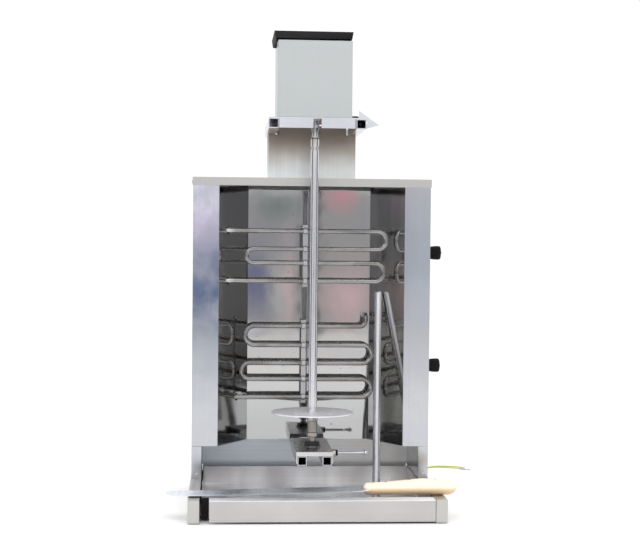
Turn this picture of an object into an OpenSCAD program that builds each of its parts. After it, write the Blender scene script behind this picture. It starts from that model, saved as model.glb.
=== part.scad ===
// Open-front vertical rotisserie broiler, free standing, electric.
// Frame: origin on the table at the centre of the footprint, +X to the
// viewer's right, +Y to the rear, +Z up, millimetres.
// Most pieces are drawn in cabinet coordinates, where Y = 0 is the front
// face of the cabinet; at_face() moves them to the frame above.

/* [Cabinet] */
// Width over the top cover
cab_w = 400; // [390:1:410]
// Height of the top cover above the table
cab_top = 539; // [530:1:545]
// Height of the lower edge of the front wings
wing_z = 90; // [90:1:92]
// Depth from the front face to the outside of the rear cover
cab_d = 149; // [149:1:152]
// Half width of the cavity mouth between the wings
mouth_x = 155.3; // [153:0.1:157]
// Half width of the flat back reflector
back_x = 105.5; // [104:0.5:107]
// Depth of the back reflector behind the front face
back_y = 82; // [82:0.5:84]
// Height of the lip of the top cover
lip_h = 13.7; // [12:0.1:15]
// Thickness of the folded sheet
t = 1.2; // [1:0.1:1.4]

/* [Base] */
// Height of the base rails
rail_z = 36.6; // [36.6:0.1:37]
// Width of each base rail
rail_w = 18; // [16:0.5:18]
// Reach of the base rails in front of the cabinet face
rail_front = 205; // [200:1:210]
// Outside width of a leg box under the wing
leg_w = 16.8; // [14:0.1:16.8]

/* [Spit] */
// Distance of the spit axis in front of the cabinet face
spit_y = 40; // [38:1:41]
// Diameter of the spit tube
spit_d = 14.5; // [14.5:0.1:15]
// Diameter of the meat disc
disc_d = 135; // [110:1:140]
// Height of the meat disc above the table
disc_z = 151.2; // [151.2:0.1:152]

/* [Heating] */
// Diameter of the heating element tube
el_d = 7.8; // [7:0.1:8]
// Depth of the upper element behind the cabinet face
el_up_y = 27; // [25:1:28]
// Depth of the lower element behind the cabinet face
el_lo_y = 52; // [50:1:53]

/* [Drive] */
// Gear module
gm = 1.5; // [1.5]
// Teeth on the output gear
z_gear = 28; // [28]
// Teeth on the motor pinion
z_pin = 12; // [12]

/* [Controls] */
// Diameter of a regulator knob
knob_d = 25; // [22:0.5:26]
// Height of the upper knob
knob_z1 = 416; // [410:1:420]
// Height of the lower knob
knob_z2 = 222; // [215:1:230]

/* [Hidden] */
$fn = 48;
face_y = 24;
hw = cab_w / 2;
px = hw - t;                  // outside of the side panels
top_in = cab_top - t;         // underside of the top cover
slope = (mouth_x - back_x) / back_y;
el_r = el_d / 2;
el_up = [450.9, 420.5, 396.8, 366.4];
el_lo = [288.8, 256.3, 225.5, 198.1, 167.2];
gear_cd = gm * (z_gear + z_pin) / 2;
pin_y = -spit_y + gear_cd;
box_dx = -4.2;                       // the motor box stands left of the spit
box_z0 = 631.4;
box_z1 = 754;
ut_x = 70; ut_z0 = 613; ut_w = 16;   // upper slide tubes
lt_x = 20; lt_z0 = 74.6; lt_w = 15;  // lower slide tubes
knob_y = 60;
cord_d = 4.5;

steel = [0.78, 0.79, 0.80];
satin = [0.72, 0.72, 0.70];
mirror_c = [0.85, 0.86, 0.88];
dark = [0.12, 0.12, 0.13];

module at_face() translate([0, face_y, 0]) children();
module box(a, b) translate(a) cube(b - a);
module cylx(x0, x1, r, y, z) translate([x0, y, z]) rotate([0, 90, 0])
  cylinder(r = r, h = x1 - x0);
module cyly(y0, y1, r, x, z) translate([x, y0, z]) rotate([-90, 0, 0])
  cylinder(r = r, h = y1 - y0);
module tube_y(xc, z0, w, wall, y0, y1) difference() {
  box([xc - w / 2, y0, z0], [xc + w / 2, y1, z0 + w]);
  box([xc - w / 2 + wall, y0 - 1, z0 + wall], [xc + w / 2 - wall, y1 - 2, z0 + w - wall]);
}

// ---------------------------------------------------------------- base
module base_rail(s) color(satin) at_face() difference() {
  box([s > 0 ? hw - rail_w : -hw, -rail_front, 1.5], [s > 0 ? hw : -hw + rail_w, cab_d, rail_z]);
  box([s > 0 ? hw - rail_w + 1.5 : -hw + 1.5, -rail_front + 1.5, 3],
      [s > 0 ? hw - 1.5 : -hw + rail_w - 1.5, cab_d + 1, rail_z - 1.5]);
  for (y = [-185, 128]) translate([s * (hw - rail_w / 2), y, 0]) cylinder(r = 4.1, h = 4);
}
module base_rail_left() base_rail(-1);
module base_rail_right() base_rail(1);
module rubber_feet() color(dark) at_face() for (s = [-1, 1], y = [-185, 128])
  translate([s * (hw - rail_w / 2), y, 0]) rotate_extrude()
    polygon([[0, 0], [6, 0], [7, 0.8], [7, 1.5], [4, 1.5], [4, 5.5], [0, 5.5]]);
module rear_crossbar() color(satin) at_face() difference() {
  box([-hw + rail_w, 136, 8], [hw - rail_w, 147, 28]);
  box([-hw + rail_w - 1, 137.2, 9.2], [hw - rail_w + 1, 145.8, 26.8]);
}
module leg(s) color(steel) at_face() difference() {
  box([s > 0 ? px - leg_w : -px, 0, rail_z], [s > 0 ? px : -px + leg_w, 146, wing_z]);
  box([s > 0 ? px - leg_w + t : -px + t, t, rail_z - 1], [s > 0 ? px - t : -px + leg_w - t, 146 - t, wing_z + 1]);
}
module leg_left() leg(-1);
module leg_right() leg(1);

// ------------------------------------------------------------- cabinet
module side_panel(s) color(steel) at_face() difference() {
  scale([s, 1, 1]) translate([0, 0, wing_z]) linear_extrude(top_in - 0.3 - wing_z)
    polygon([[mouth_x, 0], [px, 0], [px, cab_d - 1.4], [px - 13, cab_d - 1.4],
             [px - 13, cab_d - 1.4 - t], [px - t, cab_d - 1.4 - t], [px - t, t], [mouth_x, t]]);
  if (s > 0) for (z = [knob_z1, knob_z2]) cylx(px - 5, px + 5, 5, knob_y, z);
  for (i = [0:5]) box([s > 0 ? px - 5 : -px - 5, 40, 476 + i * 8], [s > 0 ? px + 5 : -px + 5, 110, 479 + i * 8]);
  for (i = [0:3]) box([s > 0 ? px - 5 : -px - 5, 40, 112 + i * 8], [s > 0 ? px + 5 : -px + 5, 110, 115 + i * 8]);
}
module side_panel_left() side_panel(-1);
module side_panel_right() side_panel(1);
module cabinet_floor() color(satin) at_face() difference() {
  box([-px + t + 0.2, t + 0.2, wing_z], [px - t - 0.2, cab_d - 3, wing_z + t]);
  translate([0, 0, wing_z - 1]) linear_extrude(4)
    polygon([[-mouth_x - 0.6, 0], [mouth_x + 0.6, 0], [back_x + 1.6, back_y + 1.2], [-back_x - 1.6, back_y + 1.2]]);
}
module rear_cover() color(satin) at_face() difference() {
  union() {
    box([-px + 0.2, cab_d - t, 38], [px - 0.2, cab_d, top_in - 0.3]);
    box([-hw + rail_w + 0.5, cab_d - t, 24], [hw - rail_w - 0.5, cab_d, 38.1]);
  }
  for (i = [0:8], s = [-1, 1]) box([s * 95 - 45, cab_d - 5, 430 + i * 9], [s * 95 + 45, cab_d + 5, 433.5 + i * 9]);
  for (i = [0:5], s = [-1, 1]) box([s * 95 - 45, cab_d - 5, 130 + i * 9], [s * 95 + 45, cab_d + 5, 133.5 + i * 9]);
  cyly(cab_d - 5, cab_d + 5, 8.1, 150, 112);
  cyly(cab_d - 5, cab_d + 5, 4.1, 178, 112);
}
module top_cap() color([0.80, 0.79, 0.75]) at_face() difference() {
  box([-hw, -1.5, cab_top - lip_h], [hw, cab_d + 1.5, cab_top]);
  box([-hw + t - 0.1, -0.3, cab_top - lip_h - 1], [hw - t + 0.1, cab_d + 0.3, cab_top - t]);
  translate([0, 70, cab_top - 5]) cylinder(r = 10, h = 8);
}
module back_reflector() color(mirror_c) at_face() difference() {
  box([-back_x, back_y, wing_z + t + 0.1], [back_x, back_y + 1, top_in - 0.2]);
  cyly(back_y - 2, back_y + 3, 6, 96, el_lo[0] + 20);
  for (z = [362, 455, 172, 284]) cyly(back_y - 2, back_y + 3, 1.6, -10, z);
}
module side_reflector(s) color(mirror_c) at_face() difference() {
  scale([s, 1, 1]) translate([0, 0, wing_z + t + 0.1]) linear_extrude(top_in - 0.2 - wing_z - t - 0.1)
    polygon([[mouth_x, t + 0.1], [back_x + 0.1, back_y - 0.1], [back_x + 1.0, back_y + 0.4],
             [mouth_x + 0.9, t + 1.1], [mouth_x + 14, t + 1.1], [mouth_x + 14, t + 0.1]]);
  if (s < 0) {
    for (z = [el_up[0], el_up[3]]) cylx(-160, -120, 6.2, el_up_y, z);
    cylx(-145, -105, 6.2, el_lo_y, el_lo[4]);
  }
}
module side_reflector_left() side_reflector(-1);
module side_reflector_right() side_reflector(1);

// ------------------------------------------------------------- heating
// A half turn of element tube in the XZ plane; side 1 bulges to +X.
module half_turn(x, y, z, r, side) translate([x, y, z]) rotate([90, side > 0 ? 90 : -90, 0])
  rotate_extrude(angle = 180) translate([r, 0]) circle(r = el_r, $fn = 24);
module pass(x0, x1, y, z) cylx(x0, x1, el_r, y, z, $fn = 24);
module heater_upper() color([0.45, 0.45, 0.46]) at_face() union() {
  z = el_up; y = el_up_y;
  pass(-166, 111.9, y, z[0]);
  half_turn(111.9, y, (z[0] + z[1]) / 2, (z[0] - z[1]) / 2, 1);
  pass(-96.9, 111.9, y, z[1]);
  half_turn(-96.9, y, (z[1] + z[2]) / 2, (z[1] - z[2]) / 2, -1);
  pass(-96.9, 108.4, y, z[2]);
  half_turn(108.4, y, (z[2] + z[3]) / 2, (z[2] - z[3]) / 2, 1);
  pass(-166, 108.4, y, z[3]);
  for (k = [0, 3]) cylx(-176, -165, 1.6, y, z[k]);
}
module heater_lower() color([0.45, 0.45, 0.46]) at_face() union() {
  z = el_lo; y = el_lo_y;
  translate([86, y, z[0] + 10]) rotate([90, 0, 0]) rotate([0, 0, -90])
    rotate_extrude(angle = 90) translate([10, 0]) circle(r = el_r, $fn = 24);
  translate([96, y + 10, z[0] + 10]) rotate([90, 0, 90]) rotate([0, 0, 90])
    rotate_extrude(angle = 90) translate([10, 0]) circle(r = el_r, $fn = 24);
  cyly(y + 10, 100, el_r, 96, z[0] + 20, $fn = 24);
  cyly(99, 110, 1.6, 96, z[0] + 20);
  pass(-93.5, 86, y, z[0]);
  half_turn(-93.5, y, (z[0] + z[1]) / 2, (z[0] - z[1]) / 2, -1);
  pass(-93.5, 91.9, y, z[1]);
  half_turn(91.9, y, (z[1] + z[2]) / 2, (z[1] - z[2]) / 2, 1);
  pass(-102.3, 91.9, y, z[2]);
  half_turn(-102.3, y, (z[2] + z[3]) / 2, (z[2] - z[3]) / 2, -1);
  pass(-102.3, 90.7, y, z[3]);
  half_turn(90.7, y, (z[3] + z[4]) / 2, (z[3] - z[4]) / 2, 1);
  pass(-150, 90.7, y, z[4]);
  cylx(-162, -149, 1.6, y, z[4]);
}
// A strip behind each element with a ring round every pass and two stays.
module element_bracket(zs, y) difference() {
  union() {
    box([-14, y + el_r + 0.4, min(zs) - 10], [-6, y + el_r + 1.9, max(zs) + 10]);
    for (z = zs) cylx(-13, -7, el_r + 1.4, y, z);
    for (z = [min(zs) - 8, max(zs) + 6]) box([-14, y + el_r + 1, z], [-6, back_y - 0.1, z + 1.6]);
  }
  for (z = zs) cylx(-20, 0, el_r + 0.1, y, z);
}
module element_brackets() color(steel) at_face() {
  element_bracket(el_up, el_up_y);
  element_bracket(el_lo, el_lo_y);
}
module bushing() difference() {
  union() { cylinder(r = 7, h = 11); cylinder(r = 9, h = 3); }
  translate([0, 0, -1]) cylinder(r = el_r + 0.15, h = 14);
}
module ceramic_bushings() color([0.92, 0.90, 0.84]) at_face() {
  for (z = [el_up[0], el_up[3]]) translate([-147.5, el_up_y, z]) rotate([0, -90, 0]) bushing();
  translate([-132, el_lo_y, el_lo[4]]) rotate([0, -90, 0]) bushing();
  translate([96, back_y + 1.1, el_lo[0] + 20]) rotate([-90, 0, 0]) bushing();
}

// ----------------------------------------------------- upper structure
module column() color([0.80, 0.79, 0.76]) at_face() difference() {
  union() {
    box([-73.5, 28, cab_top], [73.5, 110, ut_z0]);
    box([-57.5, 28, ut_z0 - 1], [57.5, 110, ut_z0 + ut_w - 0.6]);
  }
  box([-73.5 + t, 28 + t, cab_top - 1], [73.5 - t, 110 - t, ut_z0 - t]);
  box([-57.5 + t, 28 + t, ut_z0 - 3], [57.5 - t, 110 - t, ut_z0 + ut_w - 0.6 - t]);
  translate([0, 70, ut_z0 + ut_w - 5]) cylinder(r = 8, h = 10);
}
module upper_tubes() color(steel) at_face() for (s = [-1, 1]) {
  tube_y(s * ut_x, ut_z0, ut_w, 1.6, -105, 110);
}
module cable_bracket() color(steel) at_face() union() {
  translate([0, 17.5, 0]) rotate([90, 0, 0]) linear_extrude(1.5) difference() {
    polygon([[78.1, 618], [78.1, 654], [112.3, 630], [85, 622.5]]);
    translate([89, 634]) circle(r = 3);
  }
  box([78.1, 16, 615], [79.6, 44, 627]);
}
module lower_tubes() color(steel) at_face() for (s = [-1, 1])
  tube_y(s * lt_x, lt_z0, lt_w, 1.5, -110, 146);

// ----------------------------------------------------------- controls
module regulators() color([0.2, 0.2, 0.22]) at_face() for (z = [knob_z1, knob_z2]) difference() {
  union() {
    box([166, knob_y - 17, z - 17], [px - t - 0.3, knob_y + 17, z + 17]);
    for (k = [-1, 1]) box([156, knob_y + k * 8 - 3, z - 0.4], [166.5, knob_y + k * 8 + 3, z + 0.4]);
  }
  cylx(178, 210, 3.05, knob_y, z);
}
module dial_plates() color([0.85, 0.85, 0.86]) at_face() for (z = [knob_z1, knob_z2]) difference() {
  cylx(px, px + 0.8, 18, knob_y, z);
  cylx(px - 1, px + 2, 4, knob_y, z);
}
module terminal_block() color([0.9, 0.9, 0.88]) at_face() difference() {
  union() {
    box([150, 104, wing_z + t], [192, 124, wing_z + t + 6]);
    for (i = [0:3]) box([151.5 + i * 10.2, 107, wing_z + t], [159.5 + i * 10.2, 121, wing_z + t + 16]);
  }
  for (i = [0:3]) translate([155.5 + i * 10.2, 114, wing_z + t + 8]) cylinder(r = 2.4, h = 10);
}
module mains_gland() color(dark) at_face() difference() {
  union() {
    cyly(cab_d - 12, cab_d + 8, 8, 150, 112);
    translate([150, cab_d - 5.4, 112]) rotate([-90, 30, 0]) cylinder(r = 12, h = 4, $fn = 6);
    cyly(cab_d, cab_d + 4, 11.5, 150, 112);
  }
  cyly(cab_d - 20, cab_d + 20, 4.6, 150, 112);
}
module earth_bush() color(dark) at_face() difference() {
  union() {
    cyly(cab_d - 4, cab_d + 2, 4, 178, 112);
    translate([178, cab_d, 112]) rotate([-90, 0, 0]) cylinder(r1 = 6.5, r2 = 6.5, h = 2);
    translate([178, cab_d + 2, 112]) rotate([-90, 0, 0]) cylinder(r1 = 5, r2 = 3.4, h = 8);
  }
  cyly(cab_d - 20, cab_d + 20, cord_d / 2 + 0.1, 178, 112);
}
// Pan head screws: rear cover, top cover lips, legs.
module screw_head(r, h) rotate_extrude() polygon([[0, 0], [r, 0], [r, h * 0.4], [r * 0.75, h * 0.85], [r * 0.35, h], [0, h]]);
module body_screws() color([0.6, 0.6, 0.62]) at_face() {
  for (s = [-1, 1], z = [60, 230, 380, 505]) translate([s * 190, cab_d, z]) rotate([-90, 0, 0]) screw_head(3.6, 2.2);
  for (x = [-100, 0, 100], z = [60, 518]) translate([x, cab_d, z]) rotate([-90, 0, 0]) screw_head(3.6, 2.2);
  for (s = [-1, 1]) {
    translate([s * 190, 0, 42.5]) rotate([90, 0, 0]) screw_head(3.2, 2);
    for (y = [30, 120]) translate([s * hw, y, cab_top - 7]) rotate([0, s * 90, 0]) screw_head(3.2, 2);
  }
}

// ------------------------------------------------------ motor carriage
module motor_plate() color(steel) at_face() difference() {
  union() {
    box([-77, -100, 629.3], [77, 16, 631.3]);
    for (s = [-1, 1]) box([s > 0 ? 59.8 : -61.3, -100, 614.2], [s > 0 ? 61.3 : -59.8, 14, 629.5]);
    for (s = [-1, 1]) box([s > 0 ? 6.5 : -61, -100, 614.2], [s > 0 ? 61 : -6.5, -98.5, 629.5]);
    translate([68.5, -12, 631]) cylinder(r = 5, h = 3.5);
  }
  translate([0, -spit_y, 620]) cylinder(r = 8.5, h = 20);
  translate([68.5, -12, 620]) cylinder(r = 2.55, h = 20);
}
module motor_box() color([0.80, 0.81, 0.80]) at_face() translate([box_dx, 0, 0]) difference() {
  box([-59.6, -100, box_z0], [59.6, 15, box_z1]);
  box([-59.6 + t, -100 + t, box_z0 - 1], [59.6 - t, 15 - t, box_z1 + 1]);
  box([50, -66.2, 636.8], [65, -47.8, 657.2]);
  for (i = [0:4]) box([-35, 10, 730 - i * 9], [35, 20, 733 - i * 9]);
}
// The lid stands on four pads, with an air gap all round under its rim.
module motor_lid() color(dark) at_face() translate([box_dx, 0, 0]) union() {
  difference() {
    union() {
      translate([-2.7, -42.5, box_z1 + 2.2]) linear_extrude(11.4, scale = [1.03, 1.02])
        square([122.6, 118], center = true);
      box([-63.3, -99, 743], [-61, -82, box_z1 + 3]);
      box([-56, 15.2, 744], [52, 16.8, box_z1 + 3]);
    }
    translate([-2.7, -42.5, box_z1 + 1]) linear_extrude(11.2) square([118.2, 114], center = true);
  }
  for (y = [-78, 2]) {
    box([-60.8, y - 4, box_z1 + 0.1], [-54, y + 4, box_z1 + 12.5]);
    box([52.6, y - 4, box_z1 + 0.1], [57.2, y + 4, box_z1 + 12.5]);
    box([56, y - 4, box_z1 + 0.1], [59.4, y + 4, box_z1 + 2.3]);
  }
}
module gearbox_case() color([0.55, 0.56, 0.58]) at_face() difference() {
  union() {
    box([-27, -68, 631.4], [27, 6, 648]);
  }
  box([-24.5, -65.5, 635.5], [24.5, 3.5, 649]);
  translate([0, -spit_y, 625]) cylinder(r = 5.55, h = 20);
  translate([0, pin_y, 633.5]) cylinder(r = 3.05, h = 10);
}
module gearbox_cover() color([0.6, 0.61, 0.63]) at_face() difference() {
  box([-27, -68, 648.1], [27, 6, 653.5]);
  translate([0, -spit_y, 647]) cylinder(r = 5.05, h = 5);
  translate([0, pin_y, 640]) cylinder(r = 3.05, h = 20);
}
module motor_can() color([0.35, 0.36, 0.38]) at_face() translate([0, pin_y, 653.6]) difference() {
  union() { cylinder(r = 21, h = 54); cylinder(r = 10, h = 57); }
  translate([0, 0, 2]) cylinder(r = 19.6, h = 50);
  translate([0, 0, -1]) cylinder(r = 3.3, h = 56);
}
module motor_stator() color([0.7, 0.45, 0.25]) at_face() translate([0, pin_y, 662]) difference() {
  cylinder(r = 19.5, h = 34);
  translate([0, 0, -1]) cylinder(r = 13, h = 40);
}
module switch_bezel() color(dark) at_face() translate([box_dx, 0, 0]) difference() {
  union() {
    box([59.7, -68.5, 634.5], [61.4, -45.5, 659.5]);
    box([47, -66, 637], [59.9, -48, 657]);
  }
  box([48.5, -62.6, 638], [63, -51.4, 656]);
  translate([56.5, -57, 647]) rotate([90, 0, 0]) cylinder(r = 1.4, h = 15, center = true);
}
module rocker() color([0.05, 0.05, 0.05]) at_face() translate([56.5 + box_dx, -57, 647]) rotate([0, 7, 0])
  rotate([90, 0, 0]) union() {
    translate([0, 0, -5]) linear_extrude(10)
      polygon([[-4, -4], [0, -7.4], [4.6, -7.6], [5.4, -6.6], [4.2, 0], [5.4, 6.6], [4.6, 7.6], [0, 7.4], [-4, 4]]);
    // pivot pin that runs in the two cheeks of the bezel
    cylinder(r = 1.2, h = 13.6, center = true);
  }

// --------------------------------------------------------------- drive
function inv_deg(r, rb) = r <= rb ? 0 : let (a = acos(rb / r)) tan(a) * 180 / PI - a;
function tooth(z, i, rp, rb, ra, rr, ha) = let (c = i * 360 / z, ip = inv_deg(rp, rb), n = 4, rs = max(rb, rr + 0.01))
  concat([let (a = c - ha - ip) rr * [cos(a), sin(a)]],
    [for (k = [0:n]) let (r = rs + (ra - rs) * k / n, a = c - (ha + ip - inv_deg(r, rb))) r * [cos(a), sin(a)]],
    [for (k = [n:-1:0]) let (r = rs + (ra - rs) * k / n, a = c + (ha + ip - inv_deg(r, rb))) r * [cos(a), sin(a)]],
    [let (a = c + ha + ip) rr * [cos(a), sin(a)]]);
module spur(z, h, bore) linear_extrude(h) difference() {
  rp = gm * z / 2;
  polygon([for (i = [0:z - 1]) each tooth(z, i, rp, rp * cos(20), rp + gm * 0.95, rp - 1.25 * gm, 90 / z - 0.10 / rp * 180 / PI)]);
  circle(r = bore);
}
module output_gear() color([0.75, 0.70, 0.55]) at_face() translate([0, -spit_y, 637]) spur(z_gear, 9, 5.52);
module pinion() color([0.75, 0.72, 0.62]) at_face() translate([0, pin_y, 636.5]) rotate([0, 0, 180 / z_pin]) spur(z_pin, 10, 3.02);
module motor_rotor() color([0.5, 0.5, 0.52]) at_face() translate([0, pin_y, 0]) {
  translate([0, 0, 634]) cylinder(r = 3, h = 71);
  translate([0, 0, 664]) cylinder(r = 12.5, h = 30);
}
module drive_shaft() color(steel) at_face() translate([0, -spit_y, 0]) union() {
  translate([0, 0, 605]) cylinder(r = 5.5, h = 43);
  translate([0, 0, 647]) cylinder(r = 5, h = 4.4);
  translate([-3.5, -3.5, 585]) cube([7, 7, 21]);
}
module output_hub() color(steel) at_face() translate([0, -spit_y, 0]) difference() {
  union() {
    translate([0, 0, 614]) cylinder(r = 7.25, h = 14.6);
    translate([2.2, 0, 621.5]) rotate([90, 0, 0]) cylinder(r = 2.4, h = 8.6);
  }
  translate([0, 0, 610]) cylinder(r = 5.52, h = 30);
  translate([2.2, -7.6, 621.5]) rotate([90, 0, 0]) cylinder(r = 1.2, h = 3, $fn = 6);
}

// ---------------------------------------------------------------- spit
module spit_bar() color(steel) at_face() translate([0, -spit_y, 0]) difference() {
  union() {
    translate([0, 0, 131]) cylinder(r = spit_d / 2, h = 452);
    translate([0, 0, 536]) cylinder(r = spit_d / 2 + 0.5, h = 2.5);
  }
  translate([0, 0, 130]) cylinder(r = 6.02, h = 460);
}
module coupling_sleeve() color(steel) at_face() translate([0, -spit_y, 0]) difference() {
  union() {
    translate([0, 0, 588]) rotate_extrude() polygon([[0, 0], [6.6, 0], [7.4, 0.8], [7.4, 15.2], [6.6, 16], [0, 16]]);
    translate([0, 0, 568]) cylinder(r = 6, h = 21);
  }
  translate([0, 0, 595]) cylinder(r = 5.6, h = 12);
  translate([-3.65, -3.65, 575]) cube([7.3, 7.3, 25]);
}
module spit_disc() color(steel) at_face() translate([0, -spit_y, disc_z]) difference() {
  cylinder(r = disc_d / 2, h = 2, $fn = 96);
  translate([0, 0, -1]) cylinder(r = spit_d / 2 + 0.03, h = 4);
  for (a = [45:90:359]) rotate([0, 0, a]) translate([40, 0, -1]) cylinder(r = 3, h = 4);
}
module disc_hub() color([0.7, 0.68, 0.62]) at_face() translate([0, -spit_y, 0]) difference() {
  union() {
    translate([0, 0, 112]) rotate_extrude() polygon([[0, -12.4], [3.8, -12.4], [5, -11.2], [5, 0], [8, 0], [9, 1],
      [9, 7], [7.9, 8], [7.9, 26], [9, 27], [9, disc_z - 112.1], [0, disc_z - 112.1]]);
    rotate([0, 0, 20]) translate([0, 0, 144]) rotate([90, 0, 0]) cylinder(r = 2.4, h = 11.5);
  }
  translate([0, 0, 130.9]) cylinder(r = spit_d / 2 + 0.03, h = 30);
  rotate([0, 0, 20]) translate([0, -10, 144]) rotate([90, 0, 0]) cylinder(r = 1.2, h = 3, $fn = 6);
}

// ------------------------------------------------------ lower carriage
module lower_saddle() color(steel) at_face() difference() {
  union() {
    box([-29.6, -110, 90], [29.6, 55, 96.6]);
    for (s = [-1, 1]) box([s > 0 ? 28 : -29.6, -110, 78], [s > 0 ? 29.6 : -28, 55, 90.1]);
    cylx(29, 37, 6, -60, 88);
  }
  cylx(27, 40, 2.55, -60, 88);
}
module bearing_cup() color(steel) at_face() translate([0, -spit_y, 96.7]) difference() {
  rotate_extrude() polygon([[0, 0], [14, 0], [14, 1.5], [12.2, 2.2], [12.2, 6.8], [11.4, 7.6], [0, 7.6]]);
  translate([0, 0, 1.8]) cylinder(r = 5.07, h = 10);
}
module lower_clamp() color(dark) at_face() translate([0, -60, 88]) rotate([0, 90, 0]) rotate_extrude()
  polygon([[0, 28], [2, 28], [2.5, 28.5], [2.5, 37.4], [5.2, 37.4], [5.2, 40.6], [2.5, 41], [2.5, 83.4], [3.6, 84.4],
    [4.2, 86], [4.2, 87.6], [3.6, 89.2], [2.2, 90.4], [0, 90.8]]);
module upper_clamp() color(dark) at_face() translate([68.5, -12, 0]) rotate_extrude()
  polygon([[0, 629.4], [2, 629.4], [2.5, 629.9], [2.5, 634.9], [5.6, 634.9], [6, 635.4], [6, 641], [5.2, 642], [0, 642]]);

// --------------------------------------------------------------- knobs
module knob(z) at_face() translate([px, knob_y, z]) rotate([0, 90, 0]) union() {
  translate([0, 0, -12]) cylinder(r = 3, h = 20);
  translate([0, 0, 1.4]) rotate_extrude() polygon([[0, 0], [knob_d / 2 - 0.4, 0], [knob_d / 2, 0.6], [knob_d / 2, 4.6],
    [knob_d / 2 - 1.6, 6.2], [9.6, 7.2], [9.0, 24.4], [8.0, 25.6], [0, 25.6]]);
  translate([-knob_d / 2 + 1.4, -2.6, 6]) cube([knob_d - 2.8, 5.2, 21]);
}
module knob_upper() color(dark) knob(knob_z1);
module knob_lower() color(dark) knob(knob_z2);

// ---------------------------------------------------------- drip tray
module tray_pan() color([0.70, 0.70, 0.69]) at_face() union() {
  box([-179.5, -178, 3.5], [181.4, 129.2, 4.7]);
  box([-179.5, -178, 3.5], [-178.3, 129.2, 35.4]);
  box([180.2, -178, 3.5], [181.4, 129.2, 35.4]);
  box([-179.5, 128, 3.5], [181.4, 129.2, 36.4]);
  box([-179.5, -178, 3.5], [181.4, -176.8, 36.2]);
  box([-167, -205, 35], [181.4, -176.8, 36.2]);
  box([-167, -205, 3], [181.4, -203.8, 36.2]);
}

// --------------------------------------------------------- accessories
module knife_place() at_face() translate([-8, -152, 36.9]) rotate([0, -1.35, 0]) children();
module knife_blade() color([0.75, 0.77, 0.80]) knife_place() union() {
  translate([0, 0, 5]) linear_extrude(2.4)
    polygon([[-226.5, 13], [-222, 16.5], [-205, 18.5], [-150, 19.5], [60, 20], [92, 19], [92, -17], [84, -20], [60, -25],
             [-150, -26.5], [-196, -25.5], [-212, -21], [-221, -6], [-226, 6]]);
  translate([0, 0, 5]) linear_extrude(2.4) translate([86, -10]) square([128, 20]);
}
module knife_handle() color([0.86, 0.70, 0.50]) at_face() difference() {
  translate([-8, -152, 36.9]) rotate([0, -1.35, 0]) difference() {
    union() {
      hull() { translate([88, -1, 6.2]) scale([0.4, 1, 0.66]) sphere(r = 14, $fn = 32); translate([125, -1, 6.6]) scale([1, 1, 0.72]) sphere(r = 14.5, $fn = 32); }
      hull() { translate([125, -1, 6.6]) scale([1, 1, 0.72]) sphere(r = 14.5, $fn = 32); translate([175, -1, 7.4]) scale([1, 1, 0.76]) sphere(r = 17, $fn = 32); }
      hull() { translate([175, -1, 7.4]) scale([1, 1, 0.76]) sphere(r = 17, $fn = 32); translate([213, -4, 6.4]) scale([1, 1, 0.72]) sphere(r = 16.5, $fn = 32); }
    }
    translate([80, -10.1, 4.9]) cube([135, 20.2, 2.6]);
  }
  box([60, -200, 0], [240, -100, 37.0]);
}

sk_a = [109, -20, 6.6];
sk_b = [117, 49.5, 348];
module spare_skewer() color(steel) at_face() translate(sk_a)
  rotate([0, acos((sk_b - sk_a)[2] / norm(sk_b - sk_a)), atan2((sk_b - sk_a)[1], (sk_b - sk_a)[0])])
    rotate_extrude() polygon([[0, 0], [4.5, 0], [6.4, 2], [6.4, norm(sk_b - sk_a) - 2], [5.4, norm(sk_b - sk_a)], [0, norm(sk_b - sk_a)]]);

// ---------------------------------------------------------- earth lead
// Routes in the row frame: down behind the cover to the coil, and from the
// coil to the ring lug. A smooth curve runs through the points.
route_a = [[178, 183.2, 112], [178, 190, 112], [178, 199, 109.5], [178, 206.5, 103], [178, 210, 93], [178, 210, 75],
  [178, 210, 55], [178, 210, 36], [177, 210, 24], [172.5, 210, 12], [164, 210, 4.5], [154, 210, 2.3], [140, 210, 2.3]];
route_b = [[126, 271, 6.9], [140, 271, 5.4], [156, 271, 2.6], [172, 273, 2.3], [192, 282, 2.3], [209, 298, 2.3], [222, 318, 2.3],
  [234, 339, 2.3], [249, 356, 2.3], [268, 362, 2.3], [287, 357, 2.4], [303, 347, 2.9], [309, 343, 2.9]];
coil_c = [120, 240];
function cr(p0, p1, p2, p3, u) = 0.5 * ((2 * p1) + (p2 - p0) * u + (2 * p0 - 5 * p1 + 4 * p2 - p3) * u * u + (3 * p1 - p0 - 3 * p2 + p3) * u * u * u);
function smooth(p, n) = let (m = len(p) - 1) concat([for (i = [0:m - 1], k = [0:n - 1])
  cr(i > 0 ? p[i - 1] : 2 * p[0] - p[1], p[i], p[i + 1], i < m - 1 ? p[i + 2] : 2 * p[m] - p[m - 1], k / n)], [p[m]]);
function tang(p, i) = let (a = p[max(0, i - 1)], b = p[min(len(p) - 1, i + 1)]) (b - a) / norm(b - a);
module sweep(p, r, ref, n = 8) {
  pts = [for (i = [0:len(p) - 1]) let (tt = tang(p, i), b0 = cross(ref, tt), b = b0 / norm(b0), c = cross(tt, b))
    for (k = [0:n - 1]) p[i] + r * (cos(360 * k / n) * b + sin(360 * k / n) * c)];
  m = len(p);
  polyhedron(pts, concat([[for (k = [n - 1:-1:0]) k]], [[for (k = [0:n - 1]) (m - 1) * n + k]],
    [for (i = [0:m - 2], k = [0:n - 1]) let (a = i * n + k, b = i * n + (k + 1) % n) each [[a, b, b + n], [a, b + n, a + n]]]));
}
module earth_lead_a() color([0.75, 0.80, 0.25]) sweep(smooth(route_a, 2), cord_d / 2, [1, 0.02, 0]);
module earth_lead_b() color([0.75, 0.80, 0.25]) sweep(smooth(route_b, 2), cord_d / 2, [0, 0, 1]);
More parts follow.
